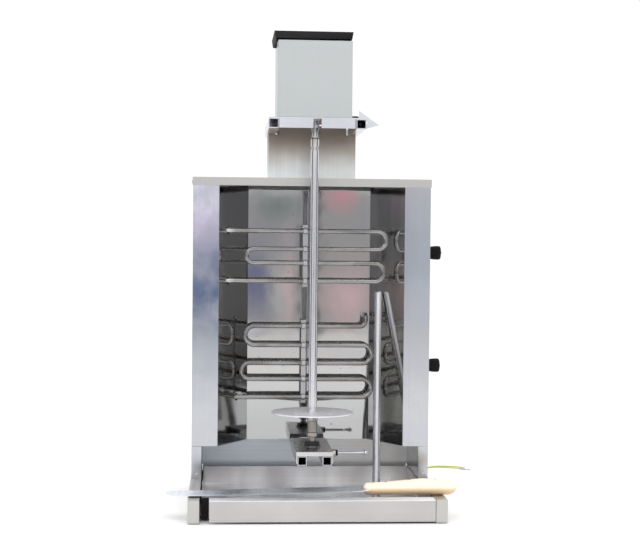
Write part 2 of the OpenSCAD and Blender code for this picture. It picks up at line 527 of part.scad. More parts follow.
module earth_coil() color([0.75, 0.80, 0.25]) translate(concat(coil_c, [0])) rotate_extrude()
  translate([17.9, 0.05]) square([15.6, 9.2]);
// Ring lug on the free end: crimp barrel and flat ring.
module earth_lug() color([0.8, 0.8, 0.82]) translate([309, 343, 0]) rotate([0, 0, atan2(-4, 6)]) difference() {
  union() {
    translate([0, 0, 2.9]) rotate([0, 90, 0]) cylinder(r = 2.85, h = 9);
    translate([8.5, -2.4, 0.3]) cube([6, 4.8, 1.2]);
    translate([17, 0, 0.3]) cylinder(r = 5.2, h = 1.2);
  }
  translate([17, 0, -1]) cylinder(r = 2.65, h = 4);
}

base_rail_left();
base_rail_right();
rubber_feet();
rear_crossbar();
leg_left();
leg_right();
side_panel_left();
side_panel_right();
cabinet_floor();
rear_cover();
top_cap();
back_reflector();
side_reflector_left();
side_reflector_right();
heater_upper();
heater_lower();
element_brackets();
ceramic_bushings();
column();
upper_tubes();
cable_bracket();
lower_tubes();
regulators();
dial_plates();
terminal_block();
mains_gland();
earth_bush();
body_screws();
motor_plate();
motor_box();
motor_lid();
gearbox_case();
gearbox_cover();
motor_can();
motor_stator();
switch_bezel();
rocker();
pinion();
motor_rotor();
output_gear();
drive_shaft();
output_hub();
spit_bar();
coupling_sleeve();
spit_disc();
disc_hub();
lower_saddle();
bearing_cup();
lower_clamp();
upper_clamp();
knob_upper();
knob_lower();
tray_pan();
knife_blade();
knife_handle();
spare_skewer();
earth_lead_a();
earth_coil();
earth_lead_b();
earth_lug();
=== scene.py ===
import math

import bmesh
import bpy
import numpy as np
from mathutils import Matrix, Vector


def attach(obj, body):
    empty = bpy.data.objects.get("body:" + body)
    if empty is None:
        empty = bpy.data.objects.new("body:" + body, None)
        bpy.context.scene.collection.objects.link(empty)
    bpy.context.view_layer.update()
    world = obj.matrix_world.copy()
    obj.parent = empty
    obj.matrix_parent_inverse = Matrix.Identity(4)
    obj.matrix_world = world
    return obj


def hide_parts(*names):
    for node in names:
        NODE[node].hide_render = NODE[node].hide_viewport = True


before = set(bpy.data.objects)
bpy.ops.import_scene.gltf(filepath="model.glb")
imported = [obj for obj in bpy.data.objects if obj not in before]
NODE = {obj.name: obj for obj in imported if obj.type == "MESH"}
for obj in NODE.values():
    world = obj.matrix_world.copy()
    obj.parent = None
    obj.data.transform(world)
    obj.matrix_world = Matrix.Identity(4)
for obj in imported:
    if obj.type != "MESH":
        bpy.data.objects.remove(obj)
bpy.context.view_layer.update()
SC = bpy.context.scene
MM = 0.001
FY = 24.0        # cabinet face in the row frame, mm


# ===================================================================== camera
def make_camera():
    yaw, pitch, roll = (math.radians(a) for a in (-4.03428071, -1.28498609, -0.55075783))
    c, s = math.cos(yaw), math.sin(yaw)
    rz = np.array([[c, -s, 0], [s, c, 0], [0, 0, 1]])
    c, s = math.cos(pitch), math.sin(pitch)
    rx = np.array([[1, 0, 0], [0, c, -s], [0, s, c]])
    c, s = math.cos(roll), math.sin(roll)
    ry = np.array([[c, 0, s], [0, 1, 0], [-s, 0, c]])
    m = rz @ rx @ ry
    right, fwd, up = m[:, 0], m[:, 1], m[:, 2]
    mat = Matrix(((right[0], up[0], -fwd[0], -0.15133),
                  (right[1], up[1], -fwd[1], -2.31082),
                  (right[2], up[2], -fwd[2], 0.42740),
                  (0, 0, 0, 1)))
    data = bpy.data.cameras.new("camera")
    data.lens, data.sensor_width = 78.75, 36.0
    data.clip_start, data.clip_end = 0.05, 60
    cam = bpy.data.objects.new("camera", data)
    SC.collection.objects.link(cam)
    cam.matrix_world = mat
    SC.camera = cam


make_camera()


# ============================================================= small mesh kit
def obj_from(name, verts, faces, smooth=False, mats=()):
    me = bpy.data.meshes.new(name)
    me.from_pydata([tuple(v) for v in verts], [], faces)
    me.update()
    ob = bpy.data.objects.new(name, me)
    SC.collection.objects.link(ob)
    for m in mats:
        me.materials.append(m)
    if smooth:
        me.polygons.foreach_set("use_smooth", [True] * len(me.polygons))
    return ob


def obj_bm(name, bm, smooth=False, mats=()):
    bmesh.ops.recalc_face_normals(bm, faces=bm.faces[:])
    me = bpy.data.meshes.new(name)
    bm.to_mesh(me)
    bm.free()
    ob = bpy.data.objects.new(name, me)
    SC.collection.objects.link(ob)
    for m in mats:
        me.materials.append(m)
    if smooth:
        me.polygons.foreach_set("use_smooth", [True] * len(me.polygons))
    return ob


def bevel(ob, w, seg=2, angle=32):
    m = ob.modifiers.new("bevel", "BEVEL")
    m.width, m.segments, m.limit_method, m.angle_limit = w, seg, "ANGLE", math.radians(angle)
    m.use_clamp_overlap = True
    m.harden_normals = False
    return m


def autosmooth(ob, angle=35):
    """Smooth shading below an angle, worked out on the mesh itself."""
    me = ob.data
    bm = bmesh.new()
    bm.from_mesh(me)
    for f in bm.faces:
        f.smooth = True
    lim = math.radians(angle)
    for e in bm.edges:
        e.smooth = not (len(e.link_faces) == 2 and e.calc_face_angle(0) > lim)
    bm.to_mesh(me)
    bm.free()
    return ob


def lathe(name, profile, n, origin, axis, mats=(), angle=30):
    """A closed solid of revolution from (radius, height) pairs; the first and last radius may be 0."""
    axis = Vector(axis).normalized()
    q = Vector((0, 0, 1)).rotation_difference(axis)
    bm = bmesh.new()
    rings = []
    for r, h in profile:
        if r < 1e-9:
            rings.append([bm.verts.new(Vector(origin) + q @ Vector((0, 0, h)))])
        else:
            rings.append([bm.verts.new(Vector(origin) + q @ Vector((r * math.cos(2 * math.pi * k / n), r * math.sin(2 * math.pi * k / n), h)))
                          for k in range(n)])
    for a, b in zip(rings[:-1], rings[1:]):
        for k in range(n):
            j = (k + 1) % n
            if len(a) == 1 and len(b) == 1:
                continue
            if len(a) == 1:
                bm.faces.new([a[0], b[k], b[j]])
            elif len(b) == 1:
                bm.faces.new([a[k], a[j], b[0]])
            else:
                bm.faces.new([a[k], a[j], b[j], b[k]])
    ob = obj_bm(name, bm, mats=mats)
    return autosmooth(ob, angle)


def joined(name, obs, mats):
    """Several small meshes as one piece, with each one's own material slot kept."""
    bm = bmesh.new()
    for ob, slot in obs:
        k = len(bm.faces)
        bm.from_mesh(ob.data)
        bm.faces.ensure_lookup_table()
        for f in bm.faces[k:]:
            f.material_index = slot
        me = ob.data
        bpy.data.objects.remove(ob)
        bpy.data.meshes.remove(me)
    me = bpy.data.meshes.new(name)
    bm.to_mesh(me)
    bm.free()
    for m in mats:
        me.materials.append(m)
    out = bpy.data.objects.new(name, me)
    SC.collection.objects.link(out)
    return out


# ================================================================== materials
class Mat:
    """A Principled material and short ways to add nodes to it."""

    def __init__(self, name, **sockets):
        self.m = bpy.data.materials.new(name)
        self.m.use_nodes = True
        self.t = self.m.node_tree
        self.n, self.l = self.t.nodes, self.t.links
        self.b = self.n["Principled BSDF"]
        for k, v in sockets.items():
            self.set(k, v)
        self.coord = self.n.new("ShaderNodeTexCoord")

    def set(self, k, v):
        k = k.replace("_", " ")
        names = {s.name.lower(): s for s in self.b.inputs}
        s = names[k.lower()]
        if isinstance(v, (tuple, list)) and len(v) == 3 and s.type == "RGBA":
            v = (*v, 1)
        s.default_value = v

    def sock(self, name):
        return self.b.inputs[name]

    def pos(self, scale=(1, 1, 1), rot=(0, 0, 0), loc=(0, 0, 0), kind="Object"):
        mp = self.n.new("ShaderNodeMapping")
        mp.inputs["Scale"].default_value = scale
        mp.inputs["Rotation"].default_value = rot
        mp.inputs["Location"].default_value = loc
        self.l.new(self.coord.outputs[kind], mp.inputs["Vector"])
        return mp.outputs["Vector"]

    def noise(self, vec, scale=5.0, detail=3.0, rough=0.5, dist=0.0, dim="3D"):
        n = self.n.new("ShaderNodeTexNoise")
        n.noise_dimensions = dim
        n.inputs["Scale"].default_value = scale
        n.inputs["Detail"].default_value = detail
        n.inputs["Roughness"].default_value = rough
        n.inputs["Distortion"].default_value = dist
        self.l.new(vec, n.inputs["Vector"])
        return n.outputs["Fac"]

    def voronoi(self, vec, scale, feature="F1", rand=1.0):
        n = self.n.new("ShaderNodeTexVoronoi")
        n.feature = feature
        n.inputs["Scale"].default_value = scale
        n.inputs["Randomness"].default_value = rand
        self.l.new(vec, n.inputs["Vector"])
        return n.outputs["Distance"]

    def ramp(self, fac, stops, interp="LINEAR"):
        r = self.n.new("ShaderNodeValToRGB")
        r.color_ramp.interpolation = interp
        el = r.color_ramp.elements
        while len(el) < len(stops):
            el.new(0.5)
        for e, (p, c) in zip(el, stops):
            e.position = p
            e.color = (*c, 1) if isinstance(c, (tuple, list)) else (c, c, c, 1)
        self.l.new(fac, r.inputs["Fac"])
        return r.outputs["Color"]

    def mix(self, fac, a, b, mode="MIX"):
        n = self.n.new("ShaderNodeMix")
        n.data_type, n.blend_type, n.clamp_factor = "RGBA", mode, True
        for s, v in ((n.inputs[0], fac), (n.inputs[6], a), (n.inputs[7], b)):
            if isinstance(v, bpy.types.NodeSocket):
                self.l.new(v, s)
            elif isinstance(v, (tuple, list)):
                s.default_value = (*v, 1)
            elif s.type == "RGBA":
                s.default_value = (v, v, v, 1)
            else:
                s.default_value = v
        return n.outputs[2]

    def math(self, op, a, b=0.0, c=0.0, clamp=False):
        n = self.n.new("ShaderNodeMath")
        n.operation, n.use_clamp = op, clamp
        for s, v in zip(n.inputs, (a, b, c)):
            if isinstance(v, bpy.types.NodeSocket):
                self.l.new(v, s)
            else:
                s.default_value = v
        return n.outputs[0]

    def rng(self, v, a, b, c, d, clamp=True):
        n = self.n.new("ShaderNodeMapRange")
        n.clamp = clamp
        for k, x in zip(("From Min", "From Max", "To Min", "To Max"), (a, b, c, d)):
            n.inputs[k].default_value = x
        self.l.new(v, n.inputs["Value"])
        return n.outputs["Result"]

    def xyz(self, vec=None):
        n = self.n.new("ShaderNodeSeparateXYZ")
        self.l.new(vec if vec is not None else self.coord.outputs["Object"], n.inputs[0])
        return n.outputs

    def bump(self, height, dist, strength=1.0, chain=None):
        n = self.n.new("ShaderNodeBump")
        n.inputs["Strength"].default_value = strength
        n.inputs["Distance"].default_value = dist
        self.l.new(height, n.inputs["Height"])
        if chain is not None:
            self.l.new(chain, n.inputs["Normal"])
        return n.outputs["Normal"]

    def link(self, out, name):
        self.l.new(out, self.b.inputs[name])

    def edge_wear(self, lo=0.52, hi=0.60):
        g = self.n.new("ShaderNodeNewGeometry")
        return self.rng(g.outputs["Pointiness"], lo, hi, 0.0, 1.0)


def steel_sheet(name, color=(0.60, 0.60, 0.61), rough=0.30, spread=0.10, grain="x", grain_depth=0.00002, wave=0.0006,
                wave_scale=9.0, tint=(0.55, 0.57, 0.62), tint_amount=0.35, smudge=0.5, aniso=0.35, streaks=0.12):
    """Stainless sheet: rolling grain, soft oil canning, smears of grease and fingers, a little colour drift."""
    m = Mat(name, metallic=1.0, base_color=color, anisotropic=aniso)
    st = {"x": (3, 260, 260), "y": (260, 3, 260), "z": (260, 260, 3)}[grain]
    g1 = m.noise(m.pos(st), 1.0, 4, 0.6)
    g2 = m.noise(m.pos(tuple(a * 3 for a in st)), 1.0, 2, 0.5)
    grain_v = m.math("ADD", m.math("MULTIPLY", g1, 0.7), m.math("MULTIPLY", g2, 0.3))
    soft = m.noise(m.pos(), 7.0, 2, 0.5, 0.6)
    blot = m.noise(m.pos(), 28.0, 4, 0.6, 0.3)
    wipe = m.noise(m.pos((5, 5, 11), (0.3, 0.4, 0.2)), 1.0, 2, 0.5)
    col = m.mix(m.math("MULTIPLY", m.rng(soft, 0.35, 0.7, 0, 1), tint_amount), color, tint)
    col = m.mix(m.math("MULTIPLY", m.rng(grain_v, 0.35, 0.65, 0, 1), streaks), col, tuple(c * 0.72 for c in color))
    m.link(col, "Base Color")
    r = m.math("ADD", m.rng(blot, 0.35, 0.7, rough - spread * 0.4, rough + spread * 0.5),
               m.math("MULTIPLY", m.math("SUBTRACT", grain_v, 0.5), spread * 0.6))
    r = m.math("ADD", r, m.math("MULTIPLY", m.rng(wipe, 0.40, 0.75, 0, 1), smudge * spread))
    m.link(r, "Roughness")
    n = m.bump(grain_v, grain_depth, 1.0)
    if wave:
        n = m.bump(m.noise(m.pos(), wave_scale, 1, 0.4), wave, 1.0, n)
    m.link(n, "Normal")
    return m.m


def column_mat():
    """Bright folded sheet with painted shade below the motor plate, thinning out towards the cap, and runs in it."""
    m = Mat("column_sheet", metallic=1.0, anisotropic=0.3)
    z = m.xyz()[2]
    run = m.noise(m.pos((60, 60, 5)), 1.0, 3, 0.55)
    cloud = m.noise(m.pos((9, 9, 18)), 1.0, 3, 0.6)
    grain = m.noise(m.pos((240, 240, 3)), 1.0, 4, 0.6)
    h = m.math("ADD", z, m.math("ADD", m.math("MULTIPLY", m.math("SUBTRACT", run, 0.5), 0.010), m.math("MULTIPLY", m.math("SUBTRACT", cloud, 0.5), 0.030)))
    # painted shade: browner and darker towards the motor plate above, lightest down at the cap
    g = m.rng(h, 0.535, 0.618, 0, 1)
    col = m.ramp(g, [(0.0, (0.86, 0.91, 0.88)), (0.30, (0.66, 0.68, 0.65)), (0.55, (0.46, 0.43, 0.385)), (0.85, (0.30, 0.255, 0.21)), (1.0, (0.24, 0.20, 0.165))])
    col = m.mix(m.math("MULTIPLY", m.rng(grain, 0.35, 0.65, 0, 1), 0.10), col, (0.30, 0.28, 0.26))
    m.link(col, "Base Color")
    m.link(m.math("ADD", m.rng(g, 0, 1, 0.30, 0.42), m.math("MULTIPLY", m.math("SUBTRACT", cloud, 0.5), 0.12)), "Roughness")
    n = m.bump(grain, 0.00001, 1.0)
    n = m.bump(m.math("MULTIPLY", run, g), 0.00010, 1.0, n)
    m.link(n, "Normal")
    return m.m


def rear_mat():
    """Rear cover: satin and a little dusty outside; inside, where the cavity shows it, painted light: a far brighter
    face, bluish to white across.
    """
    m = Mat("rear_sheet", metallic=1.0, anisotropic=0.3)
    x, y, z = m.xyz()
    grain = m.noise(m.pos((3, 260, 260)), 1.0, 4, 0.6)
    soft = m.noise(m.pos(), 6.0, 2, 0.5)
    dusty = m.noise(m.pos((7, 7, 3)), 1.0, 4, 0.65)
    inner = m.rng(y, 0.17235, 0.17215, 0, 1)
    out = m.mix(m.rng(soft, 0.35, 0.7, 0, 1), (0.47, 0.48, 0.50), (0.43, 0.44, 0.455))
    out = m.mix(m.math("MULTIPLY", m.rng(z, 0.16, 0.03, 0, 1), m.rng(dusty, 0.4, 0.7, 0.1, 0.6)), out, (0.36, 0.34, 0.31))
    # painted light: the inside face is given a far brighter colour than the outside of the same sheet
    ins = m.mix(m.rng(x, -0.05, 0.10, 0, 1), (0.80, 0.86, 0.92), (1.0, 1.0, 0.98))
    col = m.mix(inner, out, ins)
    col = m.mix(m.math("MULTIPLY", m.rng(grain, 0.35, 0.65, 0, 1), 0.10), col, (0.36, 0.36, 0.37))
    m.link(col, "Base Color")
    m.link(m.math("ADD", m.rng(soft, 0.3, 0.7, 0.30, 0.38), m.math("MULTIPLY", inner, 0.10)), "Roughness")
    n = m.bump(grain, 0.000012, 1.0)
    m.link(m.bump(soft, 0.0008, 1.0, n), "Normal")
    return m.m


def tray_mat():
    """Tray sheet: painted highlight along the front lip of the flange, satin front, inside painted lighter than the
    outside and streaked, darker in the corners with clouds and spots of old fat.
    """
    m = Mat("tray_sheet", metallic=1.0, anisotropic=0.25)
    x, y, z = m.xyz()
    grain = m.noise(m.pos((3, 240, 240)), 1.0, 4, 0.6)
    cloud = m.noise(m.pos(), 8.0, 3, 0.6)
    streak = m.noise(m.pos((16, 3, 3)), 1.0, 2, 0.55)
    spots = m.voronoi(m.pos(), 60.0)
    col = m.mix(m.rng(cloud, 0.35, 0.7, 0, 1), (0.575, 0.555, 0.55), (0.52, 0.50, 0.50))
    inside = m.rng(y, -0.156, -0.152, 0, 1)
    # painted light: the inside of the pan gets a much lighter, streaked colour than the outside
    col = m.mix(inside, col, m.mix(m.rng(streak, 0.38, 0.66, 0, 1), (1.0, 1.0, 1.0), (0.68, 0.67, 0.67)))
    edge = m.math("MULTIPLY", m.rng(m.math("ABSOLUTE", x), 0.130, 0.178, 0, 1), m.math("MULTIPLY", inside, m.rng(z, 0.0055, 0.010, 0, 1)))
    col = m.mix(m.math("MULTIPLY", edge, m.rng(cloud, 0.35, 0.65, 0.25, 0.75)), col, (0.26, 0.24, 0.235))
    pan = m.math("MULTIPLY", m.rng(z, 0.020, 0.010, 0, 1), inside)
    fat = m.math("MULTIPLY", m.math("MULTIPLY", m.rng(spots, 0.14, 0.09, 0, 1), m.rng(cloud, 0.5, 0.62, 0, 1)), pan)
    col = m.mix(m.math("MULTIPLY", fat, 0.5), col, (0.22, 0.15, 0.09))
    col = m.mix(m.math("MULTIPLY", m.rng(grain, 0.35, 0.65, 0, 1), 0.10), col, (0.40, 0.39, 0.38))
    # painted highlight: a near-white band along the top of the front lip
    rim = m.math("MULTIPLY", m.rng(z, 0.0348, 0.0356, 0, 1), m.rng(y, -0.150, -0.154, 0, 1))
    col = m.mix(m.math("MULTIPLY", rim, 0.95), col, (0.97, 0.97, 1.0))
    # painted shade: the slot between the rail and the drop panel is painted black where it lies in shadow
    slot = m.math("MULTIPLY", m.rng(x, -0.1672, -0.1678, 0, 1), m.rng(y, -0.148, -0.152, 0, 1))
    col = m.mix(m.math("MULTIPLY", slot, 0.97), col, (0.012, 0.010, 0.009))
    m.link(col, "Base Color")
    r = m.math("ADD", m.rng(cloud, 0.35, 0.7, 0.26, 0.40), m.math("MULTIPLY", fat, 0.2))
    m.link(m.math("ADD", r, m.math("MULTIPLY", m.math("ADD", rim, slot), 0.25)), "Roughness")
    n = m.bump(grain, 0.00001, 1.0)
    n = m.bump(cloud, 0.0006, 1.0, n)
    n = m.bump(fat, 0.0001, 1.0, n)
    m.link(n, "Normal")
    return m.m


def blade_mat():
    """Knife blade: long grinding lines, a brighter ground edge along the front, a few rust freckles."""
    m = Mat("blade_steel", metallic=1.0, anisotropic=0.3)
    x, y, z = m.xyz()
    g = m.noise(m.pos((40, 6, 40), (0, 0, 0.5)), 4.0, 3, 0.6)
    lines = m.noise(m.pos((4, 500, 500)), 1.0, 3, 0.6)
    edge = m.rng(m.math("ADD", y, m.math("MULTIPLY", m.math("SUBTRACT", g, 0.5), 0.002)), -0.1440, -0.1455, 0, 1)
    col = m.mix(m.rng(g, 0.4, 0.7, 0, 1), (0.78, 0.82, 0.87), (0.66, 0.71, 0.77))
    col = m.mix(m.math("MULTIPLY", edge, 0.6), col, (0.93, 0.95, 0.97))
    fr = m.noise(m.pos(), 420.0, 3, 0.6)
    col = m.mix(m.math("MULTIPLY", m.rng(fr, 0.68, 0.74, 0, 1), 0.5), col, (0.30, 0.20, 0.13))
    m.link(col, "Base Color")
    m.link(m.math("ADD", m.rng(g, 0.35, 0.7, 0.30, 0.42), m.math("MULTIPLY", edge, 0.08)), "Roughness")
    m.link(m.bump(lines, 0.000015, 1.0), "Normal")
    return m.m


def painted(name, color, rough=0.45, peel=0.00012, spec=0.5, dust=0.12):
    """Powder coat or moulded plastic: fine texture, dust in the hollows, rubbed edges."""
    m = Mat(name, base_color=color, specular_ior_level=spec)
    fine = m.noise(m.pos(), 900.0, 3, 0.6)
    mid = m.noise(m.pos(), 45.0, 4, 0.6, 0.4)
    col = m.mix(m.math("MULTIPLY", m.rng(mid, 0.45, 0.75, 0, 1), dust), color, (0.30, 0.29, 0.27))
    col = m.mix(m.math("MULTIPLY", m.edge_wear(0.53, 0.62), 0.35), col, tuple(min(1, c * 2.2 + 0.05) for c in color))
    m.link(col, "Base Color")
    m.link(m.rng(mid, 0.3, 0.7, rough - 0.08, rough + 0.1), "Roughness")
    m.link(m.bump(fine, peel, 0.6), "Normal")
    return m.m


# ================================================================= earth lead
# The same route as the design model's, in metres.
ROUTE_A = [(178, 183.2, 112), (178, 190, 112), (178, 199, 109.5), (178, 206.5, 103), (178, 210, 93), (178, 210, 75),
           (178, 210, 55), (178, 210, 36), (177, 210, 24), (172.5, 210, 12), (164, 210, 4.5), (154, 210, 2.3), (140, 210, 2.3)]
ROUTE_B = [(126, 271, 6.9), (140, 271, 5.4), (156, 271, 2.6), (172, 273, 2.3), (192, 282, 2.3), (209, 298, 2.3), (222, 318, 2.3),
           (234, 339, 2.3), (249, 356, 2.3), (268, 362, 2.3), (287, 357, 2.4), (303, 347, 2.9), (309, 343, 2.9)]
COIL = (120.0, 240.0)
LEAD_D = 4.5


def spline(p, n):
    p = [np.array(q, float) for q in p]
    out = []
    for i in range(len(p) - 1):
        p0 = p[i - 1] if i else 2 * p[0] - p[1]
        p3 = p[i + 2] if i + 2 < len(p) else 2 * p[-1] - p[-2]
        for k in range(n):
            u = k / n
            out.append(0.5 * (2 * p[i] + (p[i + 1] - p0) * u + (2 * p0 - 5 * p[i] + 4 * p[i + 1] - p3) * u * u
                              + (3 * p[i] - p0 - 3 * p[i + 1] + p3) * u ** 3))
    out.append(p[-1])
    return out


def lead_path():
    """Down behind the cover, two turns inwards on the table, up on to them, a good two turns outwards, off to the lug."""
    pts = spline(ROUTE_A, 8)[:-1]
    r0, r1, z0, z1 = 30.0, 20.6, 2.3, 6.95
    a, coil = -90.0, []
    n1, nr, n2 = 720.0, 150.0, 750.0      # degrees: bottom layer, climb, top layer
    total = n1 + nr + n2
    for k in range(int(total / 6) + 1):
        d = k * 6.0
        if d <= n1:
            r, z = r0 + (r1 - r0) * d / n1, z0
            z += 0.0
        elif d <= n1 + nr:
            u = (d - n1) / nr
            r, z = r1, z0 + (z1 - z0) * (3 * u * u - 2 * u ** 3)
        else:
            r, z = r1 + 10.2 * (d - n1 - nr) / n2, z1
        t = math.radians(a - d)
        coil.append(np.array([COIL[0] + r * math.cos(t), COIL[1] + r * math.sin(t), z]))
    pts += spline([(150, 210, 2.3), (140, 210, 2.3), (130, 210, 2.3), tuple(coil[1])], 4)[4:8]
    pts += coil[1:]
    pts += spline([tuple(coil[-1]), *ROUTE_B[1:]], 8)[1:]
    keep = [pts[0]]
    for q in pts[1:]:
        if np.linalg.norm(q - keep[-1]) > 0.9:
            keep.append(q)
    return np.array(keep) * MM


def tube(name, path, radius, sides, mats=()):
    n = len(path)
    tan = np.gradient(path, axis=0)
    tan /= np.linalg.norm(tan, axis=1)[:, None]
    ref = np.cross(tan[0], [1, 0, 0])
    ref /= np.linalg.norm(ref)
    verts, along, u = [], 0.0, []
    for i in range(n):
        ref = ref - tan[i] * np.dot(ref, tan[i])
        ref /= np.linalg.norm(ref)
        bi = np.cross(tan[i], ref)
        if i:
            along += np.linalg.norm(path[i] - path[i - 1])
        for k in range(sides):
            a = 2 * math.pi * k / sides
            verts.append(path[i] + radius * (math.cos(a) * ref + math.sin(a) * bi))
        u.append(along)
    faces, uvs = [], []
    for i in range(n - 1):
        for k in range(sides):
            j = (k + 1) % sides
            faces.append((i * sides + k, i * sides + j, (i + 1) * sides + j, (i + 1) * sides + k))
            uvs += [(k / sides, u[i]), ((k + 1) / sides, u[i]), ((k + 1) / sides, u[i + 1]), (k / sides, u[i + 1])]
    faces.append(tuple(range(sides - 1, -1, -1)))
    faces.append(tuple((n - 1) * sides + k for k in range(sides)))
    uvs += [(0.1, 0)] * sides + [(0.1, u[-1])] * sides
    ob = obj_from(name, verts, faces, True, mats)
    lay = ob.data.uv_layers.new(name="lead")
    lay.data.foreach_set("uv", np.array(uvs, np.float32).ravel())
    for f in (-1, -2):
        ob.data.polygons[f].use_smooth = False
    return ob, along


def lead_material():
    m = Mat("lead_pvc", roughness=0.42, specular_ior_level=0.5)
    uv = m.n.new("ShaderNodeUVMap")
    uv.uv_map = "lead"
    s = m.n.new("ShaderNodeSeparateXYZ")
    m.l.new(uv.outputs["UV"], s.inputs[0])
    # two green stripes that wind slowly round the yellow insulation
    ang = m.math("ADD", s.outputs[0], m.math("MULTIPLY", s.outputs[1], 3.0))
    w = m.math("SINE", m.math("MULTIPLY", ang, 4 * math.pi))
    st = m.rng(w, 0.78, 0.88, 0, 1)
    dirt = m.noise(m.pos(), 60, 4, 0.6, 0.4)
    col = m.mix(st, (0.86, 0.84, 0.24), (0.16, 0.46, 0.14))
    col = m.mix(m.math("MULTIPLY", m.rng(dirt, 0.45, 0.8, 0, 1), 0.25), col, (0.45, 0.43, 0.30))
    m.link(col, "Base Color")
    m.link(m.rng(dirt, 0.3, 0.7, 0.34, 0.55), "Roughness")
    m.link(m.bump(m.noise(m.pos(), 1500, 2, 0.5), 0.00004, 0.5), "Normal")
    return m.m


def coil_tie():
    """A flat black tie pulled round both layers of the coil, with its little lock on top."""
    rc, zc, hr, hz, w = 26.0, 4.9, 7.4, 4.75, 2.0
    bm = bmesh.new()
    n, loops = 40, []
    for k in range(n):
        t = 2 * math.pi * k / n
        c, q = math.cos(t), math.sin(t)
        r = (abs(c) ** 5 + abs(q) ** 5) ** (-1 / 5)
        row = []
        for d, o in ((-w, 0.0), (w, 0.0), (w, -0.7), (-w, -0.7)):
            rr, zz = rc + (hr + o) * c * r, zc + (hz + o) * q * r
            row.append(bm.verts.new(Vector((COIL[0] - rr, COIL[1] + d, max(zz, 0.05 if o == 0 else 0.35))) * MM))
        loops.append(row)
    for k in range(n):
        a, b = loops[k], loops[(k + 1) % n]
        for i in range(4):
            bm.faces.new([a[i], a[(i + 1) % 4], b[(i + 1) % 4], b[i]])
    band = autosmooth(obj_bm("tie_band", bm), 40)
    bm = bmesh.new()
    bmesh.ops.create_cube(bm, size=1.0, matrix=Matrix.Translation(Vector((COIL[0] - rc + 2, COIL[1], 10.3)) * MM) @ Matrix.Diagonal((0.0056, 0.0052, 0.0032, 1)))
    bmesh.ops.bevel(bm, geom=bm.edges[:], offset=0.0007, segments=2, affect="EDGES")
    lock = autosmooth(obj_bm("tie_lock", bm), 40)
    m = Mat("tie_nylon", base_color=(0.02, 0.02, 0.02), roughness=0.45)
    f = m.noise(m.pos(), 500, 3, 0.6)
    m.link(m.mix(m.rng(f, 0.4, 0.7, 0, 1), (0.014, 0.014, 0.015), (0.030, 0.029, 0.028)), "Base Color")
    m.link(m.bump(f, 0.00004, 0.6), "Normal")
    ob = joined("coil_tie", [(band, 0), (lock, 0)], [m.m])
    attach(ob, "root")
    return ob


LEAD = lead_path()
TIE = coil_tie()
lead, LEAD_LENGTH = tube("earth_lead", LEAD, LEAD_D / 2 * MM, 14, [lead_material()])
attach(lead, "root")
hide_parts("earth_lead_a", "earth_coil", "earth_lead_b")


# ================================================================== materials
def mirror_mat(name, base=(0.80, 0.81, 0.82), rough=0.05, wave=0.0009, heat=0.5, low_shade=0.0, low_shade_top=0.30, low_shade_color=(0.15, 0.145, 0.135), lit_wedge=0.0):
    """Bright-annealed reflector sheet: slightly wavy, wiped streaks, straw heat tint near the elements, baked-on fat
    spots, and painted shade darkening it towards the bottom in place of a dark reflection, lifted in a wedge low down
    near the middle as a painted bright reflection.
    """
    m = Mat(name, metallic=1.0, base_color=base)
    big = m.noise(m.pos(), 4.5, 1, 0.4)
    mid = m.noise(m.pos(), 14.0, 2, 0.5)
    streak = m.noise(m.pos((90, 90, 6)), 1.0, 3, 0.6, 0.4)
    spots = m.voronoi(m.pos(), 95.0)
    cover = m.noise(m.pos(), 9.0, 3, 0.6)
    z = m.xyz()[2]
    hot = m.math("MULTIPLY", m.rng(z, 0.14, 0.24, 0, 1), m.rng(z, 0.50, 0.40, 0, 1))
    hot = m.math("MULTIPLY", hot, m.rng(mid, 0.35, 0.75, 0.2, 1.0))
    col = m.mix(m.math("MULTIPLY", hot, 0.30 * heat), base, (0.78, 0.68, 0.52))
    fat = m.math("MULTIPLY", m.rng(spots, 0.17, 0.10, 0, 1), m.rng(cover, 0.52, 0.66, 0, 1))
    fat = m.math("MULTIPLY", fat, m.rng(z, 0.34, 0.16, 0.15, 1))
    col = m.mix(m.math("MULTIPLY", fat, 0.45), col, (0.34, 0.25, 0.16))
    # painted shade: darker towards the bottom, standing in for a dark reflection; the wedge is left bright as a painted
    # reflection
    low = m.math("ADD", z, m.math("MULTIPLY", m.math("SUBTRACT", cover, 0.5), 0.06))
    wedge = m.math("MULTIPLY", m.rng(m.math("ABSOLUTE", m.xyz()[0]), 0.131, 0.122, 0, 1), m.rng(z, 0.200, 0.172, 0, 1))
    low_shade_mask = m.math("MULTIPLY", m.rng(low, low_shade_top, low_shade_top - 0.14, 0, 1), m.math("SUBTRACT", 1.0, m.math("MULTIPLY", wedge, lit_wedge)))
    col = m.mix(m.math("MULTIPLY", low_shade_mask, low_shade), col, low_shade_color)
    m.link(col, "Base Color")
    r = m.math("ADD", m.rng(streak, 0.35, 0.75, rough, rough + 0.035), m.math("MULTIPLY", fat, 0.35))
    m.link(r, "Roughness")
    n = m.bump(m.math("ADD", big, m.math("MULTIPLY", mid, 0.22)), wave, 1.0)
    n = m.bump(streak, 0.000004, 1.0, n)
    n = m.bump(fat, 0.00012, 1.0, n)
    m.link(n, "Normal")
    return m.m


